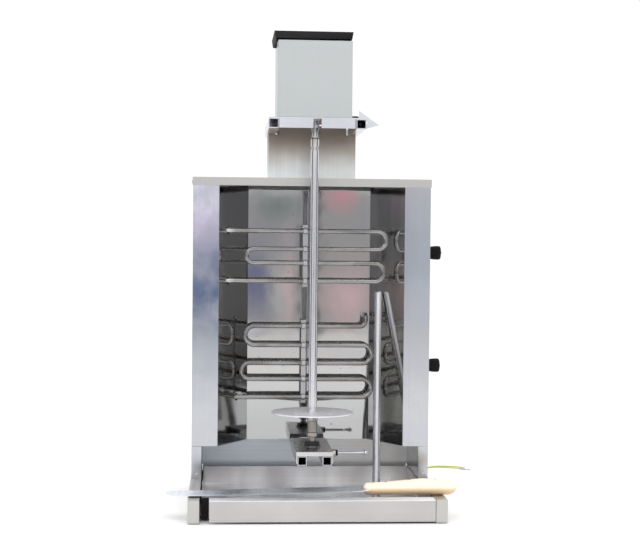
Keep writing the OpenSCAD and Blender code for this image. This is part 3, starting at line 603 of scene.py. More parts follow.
def chrome_mat(name, base=(0.80, 0.80, 0.82), rough=0.10, turned=None, scratch=0.5):
    """Bright bar or turned part: fine turning marks, light scratches, a few dull patches."""
    m = Mat(name, metallic=1.0, base_color=base)
    blot = m.noise(m.pos(), 35.0, 4, 0.6, 0.4)
    scr = m.noise(m.pos((420, 420, 16)), 1.0, 3, 0.65, 0.6)
    col = m.mix(m.math("MULTIPLY", m.rng(blot, 0.5, 0.8, 0, 1), 0.35), base, tuple(c * 0.72 for c in base))
    col = m.mix(m.math("MULTIPLY", m.edge_wear(0.54, 0.64), 0.4), col, (0.92, 0.92, 0.93))
    m.link(col, "Base Color")
    m.link(m.math("ADD", m.rng(blot, 0.35, 0.75, rough, rough + 0.12), m.math("MULTIPLY", m.rng(scr, 0.6, 0.75, 0, 1), 0.12 * scratch)),
           "Roughness")
    n = m.bump(scr, 0.00002 * scratch, 1.0)
    if turned:
        st = {"x": (1800, 2, 2), "z": (2, 2, 1800)}[turned]
        n = m.bump(m.noise(m.pos(st), 1.0, 2, 0.5), 0.00003, 1.0, n)
    m.link(n, "Normal")
    return m.m


def sleeve_mat():
    """Coupling sleeve: turned steel with a dark greasy joint line at its foot and one near its top."""
    lo = min((NODE["coupling_sleeve"].matrix_world @ Vector(c)).z for c in NODE["coupling_sleeve"].bound_box)
    m = Mat("sleeve_steel", metallic=1.0, roughness=0.2)
    z = m.xyz()[2]
    turn = m.noise(m.pos((2, 2, 1800)), 1.0, 2, 0.5)
    blot = m.noise(m.pos(), 40.0, 4, 0.6, 0.3)
    foot = m.rng(z, lo + 0.0034, lo + 0.0022, 0, 1)
    neck = m.rng(m.math("ABSOLUTE", m.math("SUBTRACT", z, lo + 0.0335)), 0.0009, 0.0005, 0, 1)
    col = m.mix(m.rng(blot, 0.4, 0.7, 0, 1), (0.62, 0.61, 0.60), (0.50, 0.485, 0.47))
    col = m.mix(m.math("MULTIPLY", m.math("MAXIMUM", foot, neck), 0.92), col, (0.05, 0.045, 0.04))
    m.link(col, "Base Color")
    m.link(m.rng(blot, 0.3, 0.7, 0.16, 0.28), "Roughness")
    m.link(m.bump(turn, 0.00003, 1.0), "Normal")
    return m.m


def sheath_mat():
    """Element tube: bright annealed alloy, browned and blued in patches by heat, with fine draw marks and burnt-on flecks."""
    m = Mat("element_tube", metallic=1.0)
    p = m.noise(m.pos((9, 30, 30)), 1.0, 3, 0.55, 0.4)
    fine = m.noise(m.pos((25, 420, 420)), 1.0, 3, 0.6)
    fleck = m.noise(m.pos(), 260.0, 3, 0.6)
    col = m.ramp(p, [(0.30, (0.27, 0.265, 0.265)), (0.45, (0.34, 0.335, 0.335)), (0.56, (0.26, 0.245, 0.232)), (0.66, (0.21, 0.208, 0.225)), (0.78, (0.34, 0.33, 0.33))])
    ends = m.rng(m.xyz()[0], -0.128, -0.140, 0, 1)
    col = m.mix(ends, col, (0.58, 0.57, 0.55))
    col = m.mix(m.math("MULTIPLY", m.rng(fleck, 0.62, 0.72, 0, 1), 0.6), col, (0.10, 0.085, 0.07))
    m.link(col, "Base Color")
    m.link(m.math("ADD", m.rng(p, 0.3, 0.8, 0.16, 0.30), m.math("MULTIPLY", m.rng(fleck, 0.6, 0.75, 0, 1), 0.3)), "Roughness")
    m.link(m.bump(m.math("ADD", fine, m.math("MULTIPLY", fleck, 0.4)), 0.00003, 1.0), "Normal")
    return m.m


def wood_mat():
    """Pale hardwood with long grain along the handle and pores, painted light on its top and painted shade on its lower
    side.
    """
    m = Mat("handle_hardwood", specular_ior_level=0.4)
    v = m.pos((14, 90, 90), (0, 0.02, 0.04))
    ring = m.noise(v, 1.0, 4, 0.55, 1.4)
    w = m.n.new("ShaderNodeTexWave")
    w.wave_type, w.bands_direction = "BANDS", "Z"
    w.inputs["Scale"].default_value = 9.0
    w.inputs["Distortion"].default_value = 7.0
    w.inputs["Detail"].default_value = 3.0
    m.l.new(m.pos((3.5, 22, 22), (0.15, 0.05, 0.0)), w.inputs["Vector"])
    pore = m.noise(m.pos((60, 1400, 1400)), 1.0, 2, 0.6)
    col = m.ramp(w.outputs["Fac"], [(0.0, (0.86, 0.66, 0.40)), (0.5, (0.80, 0.57, 0.31)), (1.0, (0.90, 0.73, 0.48))])
    col = m.mix(m.rng(ring, 0.45, 0.72, 0, 0.55), col, (0.68, 0.42, 0.20))
    col = m.mix(m.math("MULTIPLY", m.rng(pore, 0.60, 0.70, 0, 1), 0.4), col, (0.40, 0.22, 0.10))
    z = m.xyz()[2]
    zn = m.math("ADD", z, m.math("MULTIPLY", m.math("SUBTRACT", ring, 0.5), 0.004))
    # painted light on the top of the handle, then painted shade on its lower side
    col = m.mix(m.rng(zn, 0.0455, 0.0495, 0, 0.72), col, (0.97, 0.93, 0.83))
    col = m.mix(m.rng(zn, 0.0465, 0.0405, 0, 0.5), col, (0.66, 0.42, 0.28))
    col = m.mix(m.math("MULTIPLY", m.edge_wear(0.55, 0.66), 0.4), col, (0.93, 0.82, 0.62))
    m.link(col, "Base Color")
    m.link(m.rng(ring, 0.3, 0.7, 0.38, 0.56), "Roughness")
    m.link(m.bump(m.math("ADD", m.math("MULTIPLY", pore, -0.6), m.math("MULTIPLY", ring, 0.5)), 0.00012, 0.7), "Normal")
    return m.m


def speckled(name, color, second, scale=180.0, rough=0.5, metallic=0.0, bump=0.00008, amount=0.5):
    m = Mat(name, base_color=color, metallic=metallic)
    a = m.noise(m.pos(), scale, 4, 0.6)
    b = m.noise(m.pos(), scale * 0.12, 3, 0.6, 0.5)
    col = m.mix(m.rng(a, 0.42, 0.68, 0, amount), color, second)
    col = m.mix(m.rng(b, 0.45, 0.8, 0, amount * 0.7), col, tuple(c * 0.7 for c in color))
    m.link(col, "Base Color")
    m.link(m.rng(b, 0.3, 0.7, rough - 0.07, rough + 0.1), "Roughness")
    m.link(m.bump(a, bump, 0.8), "Normal")
    return m.m


M = {
    "satin_x": steel_sheet("satin_sheet_x", (0.66, 0.67, 0.68), 0.34, 0.12, "x"),
    "satin_z": steel_sheet("satin_sheet_z", (0.55, 0.55, 0.55), 0.34, 0.12, "z"),
    "cap": steel_sheet("cap_sheet", (0.58, 0.575, 0.55), 0.40, 0.10, "x", tint=(0.54, 0.53, 0.52), wave=0.0003),
    "box": steel_sheet("motor_box_sheet", (0.555, 0.60, 0.59), 0.42, 0.08, "z", grain_depth=0.000003, streaks=0.04, tint=(0.60, 0.59, 0.615), wave=0.0008, wave_scale=12),
    "polished": steel_sheet("polished_sheet", (0.51, 0.52, 0.545), 0.15, 0.10, "z", grain_depth=0.000008, wave=0.0014, wave_scale=7,
                            tint=(0.47, 0.49, 0.53), tint_amount=0.5, aniso=0.2),
    "bright": steel_sheet("bright_sheet", (0.68, 0.69, 0.73), 0.20, 0.10, "x", grain_depth=0.00001, wave=0.0004, wave_scale=14, aniso=0.2),
    "tray": tray_mat(),
    "back": rear_mat(),
    "hood": steel_sheet("louvre_sheet", (0.45, 0.46, 0.48), 0.33, 0.12, "x", wave=0),
    "column": column_mat(),
    "mirror": mirror_mat("reflector_mirror", (0.54, 0.545, 0.55), 0.03, low_shade=0.32, low_shade_top=0.26),
    "mirror_side": mirror_mat("reflector_mirror_side", (0.64, 0.645, 0.65), 0.06, 0.0006, 0.6, 0.78, 0.33, (0.29, 0.29, 0.27), 0.9),
    "chrome": chrome_mat("chromed_bar", (0.64, 0.64, 0.67), 0.16),
    "disc": chrome_mat("disc_steel", (0.90, 0.90, 0.96), 0.50),
    "chrome_turned": chrome_mat("turned_steel", (0.60, 0.59, 0.585), 0.18, "z"),
    "hub": chrome_mat("hub_steel", (0.27, 0.255, 0.24), 0.20, "z"),
    "saddle": steel_sheet("saddle_sheet", (0.62, 0.61, 0.595), 0.28, 0.12, "y", wave=0.0004, tint=(0.48, 0.46, 0.44)),
    "slide": steel_sheet("slide_tube", (0.60, 0.60, 0.61), 0.26, 0.10, "y", wave=0.0003),
    "sheath": sheath_mat(),
    "sleeve": sleeve_mat(),
    "knob": painted("knob_moulding", (0.004, 0.004, 0.005), 0.46, 0.00005, 0.12, 0.015),
    "lid": painted("lid_paint", (0.0025, 0.0025, 0.0035), 0.55, 0.00015, 0.07, 0.015),
    "dark_plastic": painted("dark_moulding", (0.02, 0.02, 0.022), 0.45),
    "rubber": speckled("black_rubber", (0.018, 0.018, 0.018), (0.05, 0.048, 0.045), 220, 0.75),
    "ceramic": speckled("steatite", (0.80, 0.77, 0.68), (0.62, 0.58, 0.50), 300, 0.35),
    "cast": speckled("die_cast", (0.42, 0.43, 0.45), (0.30, 0.31, 0.33), 240, 0.48, 0.9),
    "gear": chrome_mat("cut_gear_steel", (0.48, 0.47, 0.45), 0.26, "z"),
    "copper": speckled("winding_copper", (0.65, 0.28, 0.12), (0.40, 0.15, 0.07), 500, 0.35, 1.0),
    "white_plastic": speckled("terminal_nylon", (0.82, 0.82, 0.78), (0.70, 0.69, 0.64), 150, 0.42),
    "bakelite": speckled("control_body", (0.055, 0.05, 0.047), (0.11, 0.10, 0.09), 180, 0.5),
    "zinc": speckled("zinc_screw", (0.62, 0.62, 0.60), (0.45, 0.44, 0.40), 420, 0.30, 1.0, 0.00003),
    "dial": steel_sheet("dial_sheet", (0.58, 0.58, 0.60), 0.30, 0.06, "z", wave=0, smudge=0.3),
    "blade": blade_mat(),
    "white_ink": painted("pointer_white", (0.80, 0.80, 0.78), 0.5, 0.00003, 0.4, 0.2),
    "black_oxide": chrome_mat("black_oxide_steel", (0.055, 0.053, 0.052), 0.30),
    "brass": chrome_mat("brass_rivet", (0.78, 0.60, 0.30), 0.22),
    "wood": wood_mat(),
    "lug": chrome_mat("tinned_lug", (0.62, 0.62, 0.60), 0.28),
}

USE = {
    "satin_x": ["rear_crossbar", "cabinet_floor"],
    "satin_z": ["element_brackets"],
    "cap": ["top_cap", "base_rail_left", "base_rail_right"],
    "box": ["motor_box"],
    "polished": ["side_panel_left", "side_panel_right", "leg_left", "leg_right"],
    "bright": ["motor_plate", "upper_tubes", "cable_bracket"],
    "tray": ["tray_pan"],
    "back": ["rear_cover"],
    "column": ["column"],
    "mirror": ["back_reflector"],
    "mirror_side": ["side_reflector_left", "side_reflector_right"],
    "chrome": ["spit_bar", "spare_skewer"],
    "disc": ["spit_disc"],
    "chrome_turned": ["drive_shaft", "output_hub"],
    "sleeve": ["coupling_sleeve"],
    "black_oxide": ["bearing_cup"],
    "hub": ["disc_hub"],
    "saddle": ["lower_saddle"],
    "slide": ["lower_tubes"],
    "sheath": ["heater_upper", "heater_lower"],
    "knob": ["knob_upper", "knob_lower", "lower_clamp", "upper_clamp"],
    "lid": ["motor_lid"],
    "dark_plastic": ["switch_bezel", "rocker", "mains_gland", "earth_bush"],
    "rubber": ["rubber_feet"],
    "ceramic": ["ceramic_bushings"],
    "cast": ["gearbox_case", "gearbox_cover", "motor_can"],
    "gear": ["output_gear", "pinion", "motor_rotor"],
    "copper": ["motor_stator"],
    "white_plastic": ["terminal_block"],
    "bakelite": ["regulators"],
    "zinc": ["body_screws"],
    "dial": ["dial_plates"],
    "blade": ["knife_blade"],
    "wood": ["knife_handle"],
    "lug": ["earth_lug"],
}
for key, names in USE.items():
    for n in names:
        me = NODE[n].data
        me.materials.clear()
        me.materials.append(M[key])

# rolled and dressed edges on the sheet metal and tube
for n, w in {"top_cap": 0.5, "side_panel_left": 0.5, "side_panel_right": 0.5, "leg_left": 0.5, "leg_right": 0.5, "base_rail_left": 0.6,
             "base_rail_right": 0.6, "column": 0.5, "motor_box": 0.5, "motor_plate": 0.4, "upper_tubes": 0.5, "lower_tubes": 0.5,
             "tray_pan": 0.45, "lower_saddle": 0.4, "back_reflector": 0.25, "cable_bracket": 0.3, "rear_cover": 0.3, "rear_crossbar": 0.4,
             "switch_bezel": 0.4, "rocker": 0.4}.items():
    ob = NODE[n]
    wd = ob.modifiers.new("weld", "WELD")
    wd.merge_threshold = 1e-6
    pl = ob.modifiers.new("planar", "DECIMATE")
    pl.decimate_type, pl.angle_limit = "DISSOLVE", math.radians(0.4)
    bevel(ob, w * MM, 2)
    wn = ob.modifiers.new("weighted", "WEIGHTED_NORMAL")
    wn.mode, wn.weight, wn.keep_sharp = "FACE_AREA", 90, False


# ============================================================ detailed pieces
P = lambda x, y, z: Vector((x, y + FY, z)) * MM      # cabinet millimetres to the frame


def cross_head(name, origin, axis, r, h, washer=0.0):
    """Pan-head screw with a cross recess sunk into its crown, on a thin washer."""
    axis = Vector(axis).normalized()
    q = Vector((0, 0, 1)).rotation_difference(axis)
    n = 32
    rad = [0.0, 0.10, 0.20, 0.30, 0.42, 0.50, 0.58, 0.72, 0.86, 0.95, 1.0, 1.0]
    hgt = [1.0, 1.0, 1.0, 0.995, 0.99, 0.98, 0.97, 0.90, 0.74, 0.55, 0.32, 0.0]
    bm = bmesh.new()
    rings = []
    for a, b in zip(rad, hgt):
        ring = []
        for k in range(1 if a == 0 else n):
            t = 2 * math.pi * (k + 0.5) / n
            x, y = r * a * math.cos(t), r * a * math.sin(t)
            z = h * b
            if a < 0.55 and min(abs(x), abs(y)) < 0.14 * r:
                z -= 0.55 * h * (1 - a)
            ring.append(bm.verts.new(Vector(origin) + q @ Vector((x, y, z + (0.6 * MM if washer else 0)))))
        rings.append(ring)
    for a, b in zip(rings[:-1], rings[1:]):
        for k in range(n):
            j = (k + 1) % n
            bm.faces.new([a[0], b[k], b[j]] if len(a) == 1 else [a[k], b[k], b[j], a[j]])
    bm.faces.new(list(reversed(rings[-1])))
    if washer:
        w = washer
        prof = [(r * 0.4, 0.0), (w, 0.0), (w, 0.45 * MM), (w - 0.15 * MM, 0.6 * MM), (r * 0.4, 0.6 * MM)]
        rr = [[bm.verts.new(Vector(origin) + q @ Vector((p * math.cos(2 * math.pi * k / n), p * math.sin(2 * math.pi * k / n), z))) for k in range(n)]
              for p, z in prof]
        for a in range(5):
            for k in range(n):
                j = (k + 1) % n
                bm.faces.new([rr[a][k], rr[a][j], rr[(a + 1) % 5][j], rr[(a + 1) % 5][k]])
    return autosmooth(obj_bm(name, bm), 30)


def body_screws():
    obs = []
    back = [(s * 190, 149, z) for s in (-1, 1) for z in (60, 230, 380, 505)] + [(x, 149, z) for x in (-100, 0, 100) for z in (60, 518)]
    for k, p in enumerate(back):
        obs.append((cross_head(f"s{k}", P(*p), (0, 1, 0), 3.3 * MM, 1.7 * MM, 4.6 * MM), 0))
    for s in (-1, 1):
        obs.append((cross_head(f"l{s}", P(s * 190, 0, 42.5), (0, -1, 0), 3.2 * MM, 2.0 * MM), 0))
        for y in (30, 120):
            obs.append((cross_head(f"c{s}{y}", P(s * 200, y, 532), (s, 0, 0), 3.2 * MM, 2.0 * MM), 0))
    ob = joined("casing_screws", obs, [M["zinc"]])
    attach(ob, "root")
    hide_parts("body_screws")


def louvres():
    """Pressed hoods over the rear vent slots, open underneath."""
    bm = bmesh.new()
    n = 6
    for x0 in (-95, 95):
        for z0 in [430 + i * 9 for i in range(9)] + [130 + i * 9 for i in range(6)]:
            outer, inner = [], []
            for k in range(n + 1):
                a = math.pi / 2 * k / n
                outer.append((149.05 + 3.2 * math.sin(a), z0 + 0.2 + 5.4 * math.cos(a)))
                inner.append((149.05 + 2.5 * math.sin(a), z0 + 0.2 + 4.7 * math.cos(a)))
            cols = []
            for x, f in ((-47.5, 0.02), (-47.0, 0.45), (-45.5, 0.85), (-43.0, 1.0), (43.0, 1.0), (45.5, 0.85), (47.0, 0.45), (47.5, 0.02)):
                o = [bm.verts.new(P(x0 + x, 149.05 + (y - 149.05) * f, z)) for y, z in outer]
                i = [bm.verts.new(P(x0 + x * 0.985, 149.05 + (y - 149.05) * f * 0.97, z)) for y, z in inner]
                cols.append((o, i))
            for (o, i), (p, r) in zip(cols[:-1], cols[1:]):
                for k in range(n):
                    bm.faces.new([o[k], p[k], p[k + 1], o[k + 1]])
                    bm.faces.new([i[k + 1], r[k + 1], r[k], i[k]])
                bm.faces.new([o[0], i[0], r[0], p[0]])
                bm.faces.new([o[n], p[n], r[n], i[n]])
            for o, i in (cols[0], cols[-1]):
                for k in range(n):
                    bm.faces.new([o[k], o[k + 1], i[k + 1], i[k]])
    ob = autosmooth(obj_bm("rear_louvres", bm, mats=[M["hood"]]), 50)
    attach(ob, "root")


def regulator_knob(name, z0, body):
    """Skirted knob with a milled rim, a ribbed grip and a white pointer on the bar across its end."""
    c = (198.8, 60, z0)
    n = 96
    bm = bmesh.new()

    def v(r, t, x):
        return bm.verts.new(P(c[0] + x, c[1] + r * math.cos(t), c[2] + r * math.sin(t)))
    # skirt with fine milling round its rim, then a waist and the round boss
    prof = [(0, 1.4, 0), (11.4, 1.4, 0), (12.3, 1.8, 1), (12.5, 2.4, 1), (12.5, 4.6, 1), (12.1, 5.4, 1), (11.0, 6.2, 0), (10.3, 6.8, 0), (10.5, 8.4, 2),
            (11.2, 11.5, 2), (11.7, 16, 2), (11.85, 21, 2), (11.6, 24.4, 2), (10.8, 25.6, 0), (9.4, 26.2, 0), (4.0, 26.45, 0), (0, 26.5, 0)]
    rings = []
    for r, x, mill in prof:
        if r == 0:
            rings.append([v(0, 0, x)])
        else:
            rings.append([v(r - (0.32 if mill == 1 and k % 2 else 0.5 if mill == 2 and k % 4 > 1 else 0), 2 * math.pi * k / n, x) for k in range(n)])
    for a, b in zip(rings[:-1], rings[1:]):
        for k in range(n):
            j = (k + 1) % n
            if len(a) == 1:
                bm.faces.new([a[0], b[k], b[j]])
            elif len(b) == 1:
                bm.faces.new([a[k], a[j], b[0]])
            else:
                bm.faces.new([a[k], a[j], b[j], b[k]])
    base = autosmooth(obj_bm(name + "_a", bm), 32)
    # finger bar: a lofted rounded bar, wider at its root, waisted along its sides
    bm = bmesh.new()
    m = 28
    loops = []
    for x, ly, lz in ((6.0, 11.6, 3.5), (9.0, 11.4, 3.0), (14, 11.1, 2.6), (20, 10.8, 2.5), (24.8, 10.5, 2.4), (26.2, 10.0, 2.1), (26.9, 9.2, 1.5)):
        ring = []
        for k in range(m):
            t = 2 * math.pi * k / m
            ct, st = math.cos(t), math.sin(t)
            y = math.copysign(abs(ct) ** 0.35, ct) * ly
            z = math.copysign(abs(st) ** 0.55, st) * lz * (0.86 + 0.14 * (abs(y) / ly) ** 2)
            ring.append(bm.verts.new(P(c[0] + x, c[1] + y, c[2] + z)))
        loops.append(ring)
    for a, b in zip(loops[:-1], loops[1:]):
        for k in range(m):
            bm.faces.new([a[k], a[(k + 1) % m], b[(k + 1) % m], b[k]])
    bm.faces.new(loops[-1])
    bm.faces.new(list(reversed(loops[0])))
    bar = autosmooth(obj_bm(name + "_b", bm), 40)
    ob = joined(name + "_moulding", [(base, 0), (bar, 0)], [M["knob"]])
    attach(ob, body)
    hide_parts(name)
    # pointer: paint line along the bar's end
    bm = bmesh.new()
    pts = [(26.93, -1.0), (26.93, -5.0), (26.93, -8.6), (26.3, -10.05)]
    rows = []
    for x, y in pts:
        o = 0.09
        nx, ny = (o, 0) if y > -8.7 else ((o * 0.7, -o * 0.7) if y > -10.2 else (0, -o))
        rows.append([bm.verts.new(P(c[0] + x + nx, c[1] + y + ny, c[2] + z)) for z in (-0.55, 0.55)]
                    + [bm.verts.new(P(c[0] + x - nx, c[1] + y - ny, c[2] + z)) for z in (0.55, -0.55)])
    for a, b in zip(rows[:-1], rows[1:]):
        for k in range(4):
            bm.faces.new([a[k], a[(k + 1) % 4], b[(k + 1) % 4], b[k]])
    bm.faces.new(rows[0])
    bm.faces.new(list(reversed(rows[-1])))
    ln = obj_bm(name + "_pointer", bm, mats=[M["white_ink"]])
    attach(ln, body)


def thumb_screws():
    """Clamp screws: a chromed rod with a ball end and a small black five-lobed collar, and a black knurled knob on top."""
    o, x = P(0, -60, 88), (1, 0, 0)
    rod = lathe("rod", [(r * MM, h * MM) for r, h in ((0, 28.1), (2.1, 28.2), (2.5, 28.7), (2.5, 41.0), (2.3, 41.3), (2.3, 82.6), (2.7, 83.6), (3.6, 84.6), (4.15, 86.0),
                                                      (4.25, 87.1), (4.0, 88.3), (3.3, 89.5), (2.2, 90.4), (1.0, 90.75), (0, 90.8))], 28, o, x)
    bm = bmesh.new()
    n, rings = 60, []
    for h, f in ((37.4, 0.80), (37.7, 0.94), (38.2, 1.0), (40.0, 1.0), (40.5, 0.93), (40.9, 0.75)):
        ring = []
        for k in range(n):
            t = 2 * math.pi * k / n
            r = (4.4 + 0.75 * math.cos(5 * t)) * f
            ring.append(bm.verts.new(P(h, -60 + r * math.cos(t), 88 + r * math.sin(t))))
        rings.append(ring)
    for a, b in zip(rings[:-1], rings[1:]):
        for k in range(n):
            bm.faces.new([a[k], a[(k + 1) % n], b[(k + 1) % n], b[k]])
    bm.faces.new(rings[-1])
    bm.faces.new(list(reversed(rings[0])))
    collar = autosmooth(obj_bm("collar", bm), 40)
    ob = joined("lower_clamp_screw", [(rod, 0), (collar, 1)], [M["chrome"], M["knob"]])
    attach(ob, "lower_clamp")
    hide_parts("lower_clamp")
    bm = bmesh.new()
    n, rings = 72, []
    for z, r, k1 in ((629.45, 2.1, 0), (629.9, 2.45, 0), (634.9, 2.45, 0), (634.95, 5.3, 0), (635.3, 5.8, 1), (635.8, 6.0, 1), (640.6, 6.0, 1), (641.2, 5.7, 1), (641.7, 5.0, 0),
                     (641.75, 2.6, 0), (641.2, 2.3, 0)):
        rings.append([bm.verts.new(P(68.5 + (r - (0.35 if k1 and k % 2 else 0)) * math.cos(2 * math.pi * k / n), -12 + (r - (0.35 if k1 and k % 2 else 0)) * math.sin(2 * math.pi * k / n), z))
                      for k in range(n)])
    for a, b in zip(rings[:-1], rings[1:]):
        for k in range(n):
            bm.faces.new([a[k], a[(k + 1) % n], b[(k + 1) % n], b[k]])
    bm.faces.new(rings[-1])
    bm.faces.new(list(reversed(rings[0])))
    ob = autosmooth(obj_bm("upper_clamp_knob", bm, mats=[M["knob"]]), 32)
    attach(ob, "upper_clamp")
    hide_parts("upper_clamp")


def K(x, y, z):
    """Knife millimetres (along, across, up) to the frame."""
    a = math.radians(1.35)
    return P(-8 + x * math.cos(a) - z * math.sin(a), -152 + y, 36.9 + x * math.sin(a) + z * math.cos(a))


def knife():
    """Blade with a flat spine and a long ground bevel to its front edge, full tang, and three riveted pins through the scales."""
    top = [(-226.5, 13), (-224.5, 15), (-222, 16.5), (-214, 17.6), (-205, 18.5), (-150, 19.5), (60, 20), (92, 19)]
    bot = [(-226.5, 6), (-225, 1.5), (-221, -6), (-217, -14), (-212, -21), (-205, -23.8), (-196, -25.5), (-150, -26.5), (60, -25), (84, -20), (92, -16)]
    xs = [-226.5, -225.7, -224.5, -223, -221, -219, -217, -214.5, -212, -208, -205, -200, -196, -185, -170, -150, -110, -70, -30, 10, 40, 60, 70, 78, 84, 88, 92]
    bm = bmesh.new()
    rows = []
    for x in xs:
        yt, yb = np.interp(x, *zip(*top)), np.interp(x, *zip(*bot))
        k = min(1.0, (yt - yb) / 20.0)
        f = float(np.interp(x, [60, 86], [0.0, 1.0]))            # the bevel runs out before the handle
        e = 0.12 + (1.05 - 0.12) * f
        sec = [(yt, 0.95), (yt - 0.5, 1.2), (yb + 11 * k, 1.12), (yb + 0.6 * k, e + 0.06), (yb, e * 0.7), (yb, -e * 0.7), (yb + 0.6 * k, -e - 0.06), (yb + 11 * k, -1.12),
               (yt - 0.5, -1.2), (yt, -0.95)]
        rows.append([bm.verts.new(K(x, y, 6.2 + z)) for y, z in sec])
    for a, b in zip(rows[:-1], rows[1:]):
        for k in range(10):
            bm.faces.new([a[k], a[(k + 1) % 10], b[(k + 1) % 10], b[k]])
    bm.faces.new(rows[0])
    bm.faces.new(list(reversed(rows[-1])))
    blade = autosmooth(obj_bm("b", bm), 12)
    # tang between the scales
    bm = bmesh.new()
    rows = []
    for x, w in ((90, 9.0), (91, 9.9), (212, 9.9), (213.5, 9.0)):
        rows.append([bm.verts.new(K(x, y, 6.2 + z)) for y, z in ((w, 1.0), (w - 0.3, 1.2), (-w + 0.3, 1.2), (-w, 1.0), (-w, -1.0), (-w + 0.3, -1.2), (w - 0.3, -1.2), (w, -1.0))])
    for a, b in zip(rows[:-1], rows[1:]):
        for k in range(8):
            bm.faces.new([a[k], a[(k + 1) % 8], b[(k + 1) % 8], b[k]])
    bm.faces.new(rows[0])
    bm.faces.new(list(reversed(rows[-1])))
    tang = obj_bm("t", bm)
    ob = joined("slicing_blade", [(blade, 0), (tang, 0)], [M["blade"]])
    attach(ob, "knife")
    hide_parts("knife_blade")
    pins = []
    for x, zt in ((118, 16.2), (155, 18.9), (195, 19.0)):
        c = K(x, -1.5 if x < 190 else -2.8, zt - 1.2)
        pins.append((lathe(f"p{x}", [(r * MM, h * MM) for r, h in ((0, 0), (3.0, 0), (3.0, 1.35), (2.7, 1.62), (1.6, 1.78), (0, 1.82))], 28, c, K(x, 0, 1) - K(x, 0, 0)), 0))
    ob = joined("handle_pins", pins, [M["brass"]])
    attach(ob, "knife")


body_screws()
louvres()
regulator_knob("knob_upper", 416, "knob_upper")
regulator_knob("knob_lower", 222, "knob_lower")
thumb_screws()
knife()

# ====================================================================== stage
def stage_plane(name, corners, mat, camera=True):
    ob = obj_from(name, corners, [(0, 1, 2, 3)], mats=[mat])
    ob.visible_camera = camera
    return ob


def emit_mat(name, color, strength=1.0, attr=None):
    m = bpy.data.materials.new(name)
    m.use_nodes = True
    t = m.node_tree
    for n in list(t.nodes):
        t.nodes.remove(n)
    out, em = t.nodes.new("ShaderNodeOutputMaterial"), t.nodes.new("ShaderNodeEmission")
    em.inputs["Color"].default_value = (*color, 1)
    em.inputs["Strength"].default_value = strength
    if attr:
        a = t.nodes.new("ShaderNodeAttribute")
        a.attribute_name = attr
        t.links.new(a.outputs["Color"], em.inputs["Color"])
    t.links.new(em.outputs[0], out.inputs[0])
    return m


def floor():
    m = Mat("floor_pale", base_color=(0.97, 0.97, 0.97), roughness=0.7, specular_ior_level=0.1)
    f = m.noise(m.pos(), 3.0, 2, 0.5)
    m.link(m.mix(m.rng(f, 0.3, 0.7, 0, 1), (0.97, 0.97, 0.97), (0.965, 0.965, 0.967)), "Base Color")
    stage_plane("floor", [(-14, -14, 0), (14, -14, 0), (14, 14, 0), (-14, 14, 0)], m.m)


# what the bright sheets mirror from the front of the room: (x, z, sigma x, sigma z, colour, share)
PATCHES = [
    (-0.02, 0.29, 0.045, 0.09, (0.20, 0.21, 0.40), 0.90),
    (0.06, 0.26, 0.020, 0.08, (0.68, 0.71, 0.71), 0.80),
    (0.105, 0.27, 0.014, 0.10, (0.98, 0.72, 0.78), 0.80),
    (0.31, 0.24, 0.060, 0.07, (0.95, 0.66, 0.72), 0.85),
    (0.26, 0.36, 0.050, 0.03, (0.56, 0.50, 0.50), 0.60),
    (0.28, 0.60, 0.035, 0.030, (0.95, 0.42, 0.46), 0.85),
    (0.05, 0.57, 0.060, 0.040, (0.26, 0.31, 0.30), 0.80),
    (0.02, 0.45, 0.060, 0.040, (0.42, 0.41, 0.46), 0.70),
    (0.36, 0.50, 0.050, 0.060, (0.46, 0.46, 0.48), 0.60),
]
LEFT_WING = [(0.0, (1.0, 1.0, 1.0)), (0.07, (0.95, 0.97, 1.0)), (0.13, (0.40, 0.50, 0.66)), (0.20, (0.13, 0.23, 0.42)), (0.37, (0.08, 0.19, 0.40)),
             (0.41, (0.16, 0.24, 0.44)), (0.44, (1.10, 0.90, 1.12)), (0.48, (1.40, 1.20, 1.42)), (0.53, (1.75, 1.52, 1.75)), (0.61, (1.80, 1.80, 2.05)), (0.66, (1.3, 1.3, 1.4))]
RIGHT_WING = [(0.0, (1.0, 1.0, 1.0)), (0.12, (0.96, 0.96, 0.98)), (0.24, (0.94, 0.97, 1.07)), (0.33, (0.80, 0.90, 0.96)), (0.42, (0.73, 0.84, 0.88)),
              (0.50, (0.80, 0.86, 0.92)), (0.60, (0.86, 0.86, 0.94)), (0.66, (0.92, 0.92, 0.96))]


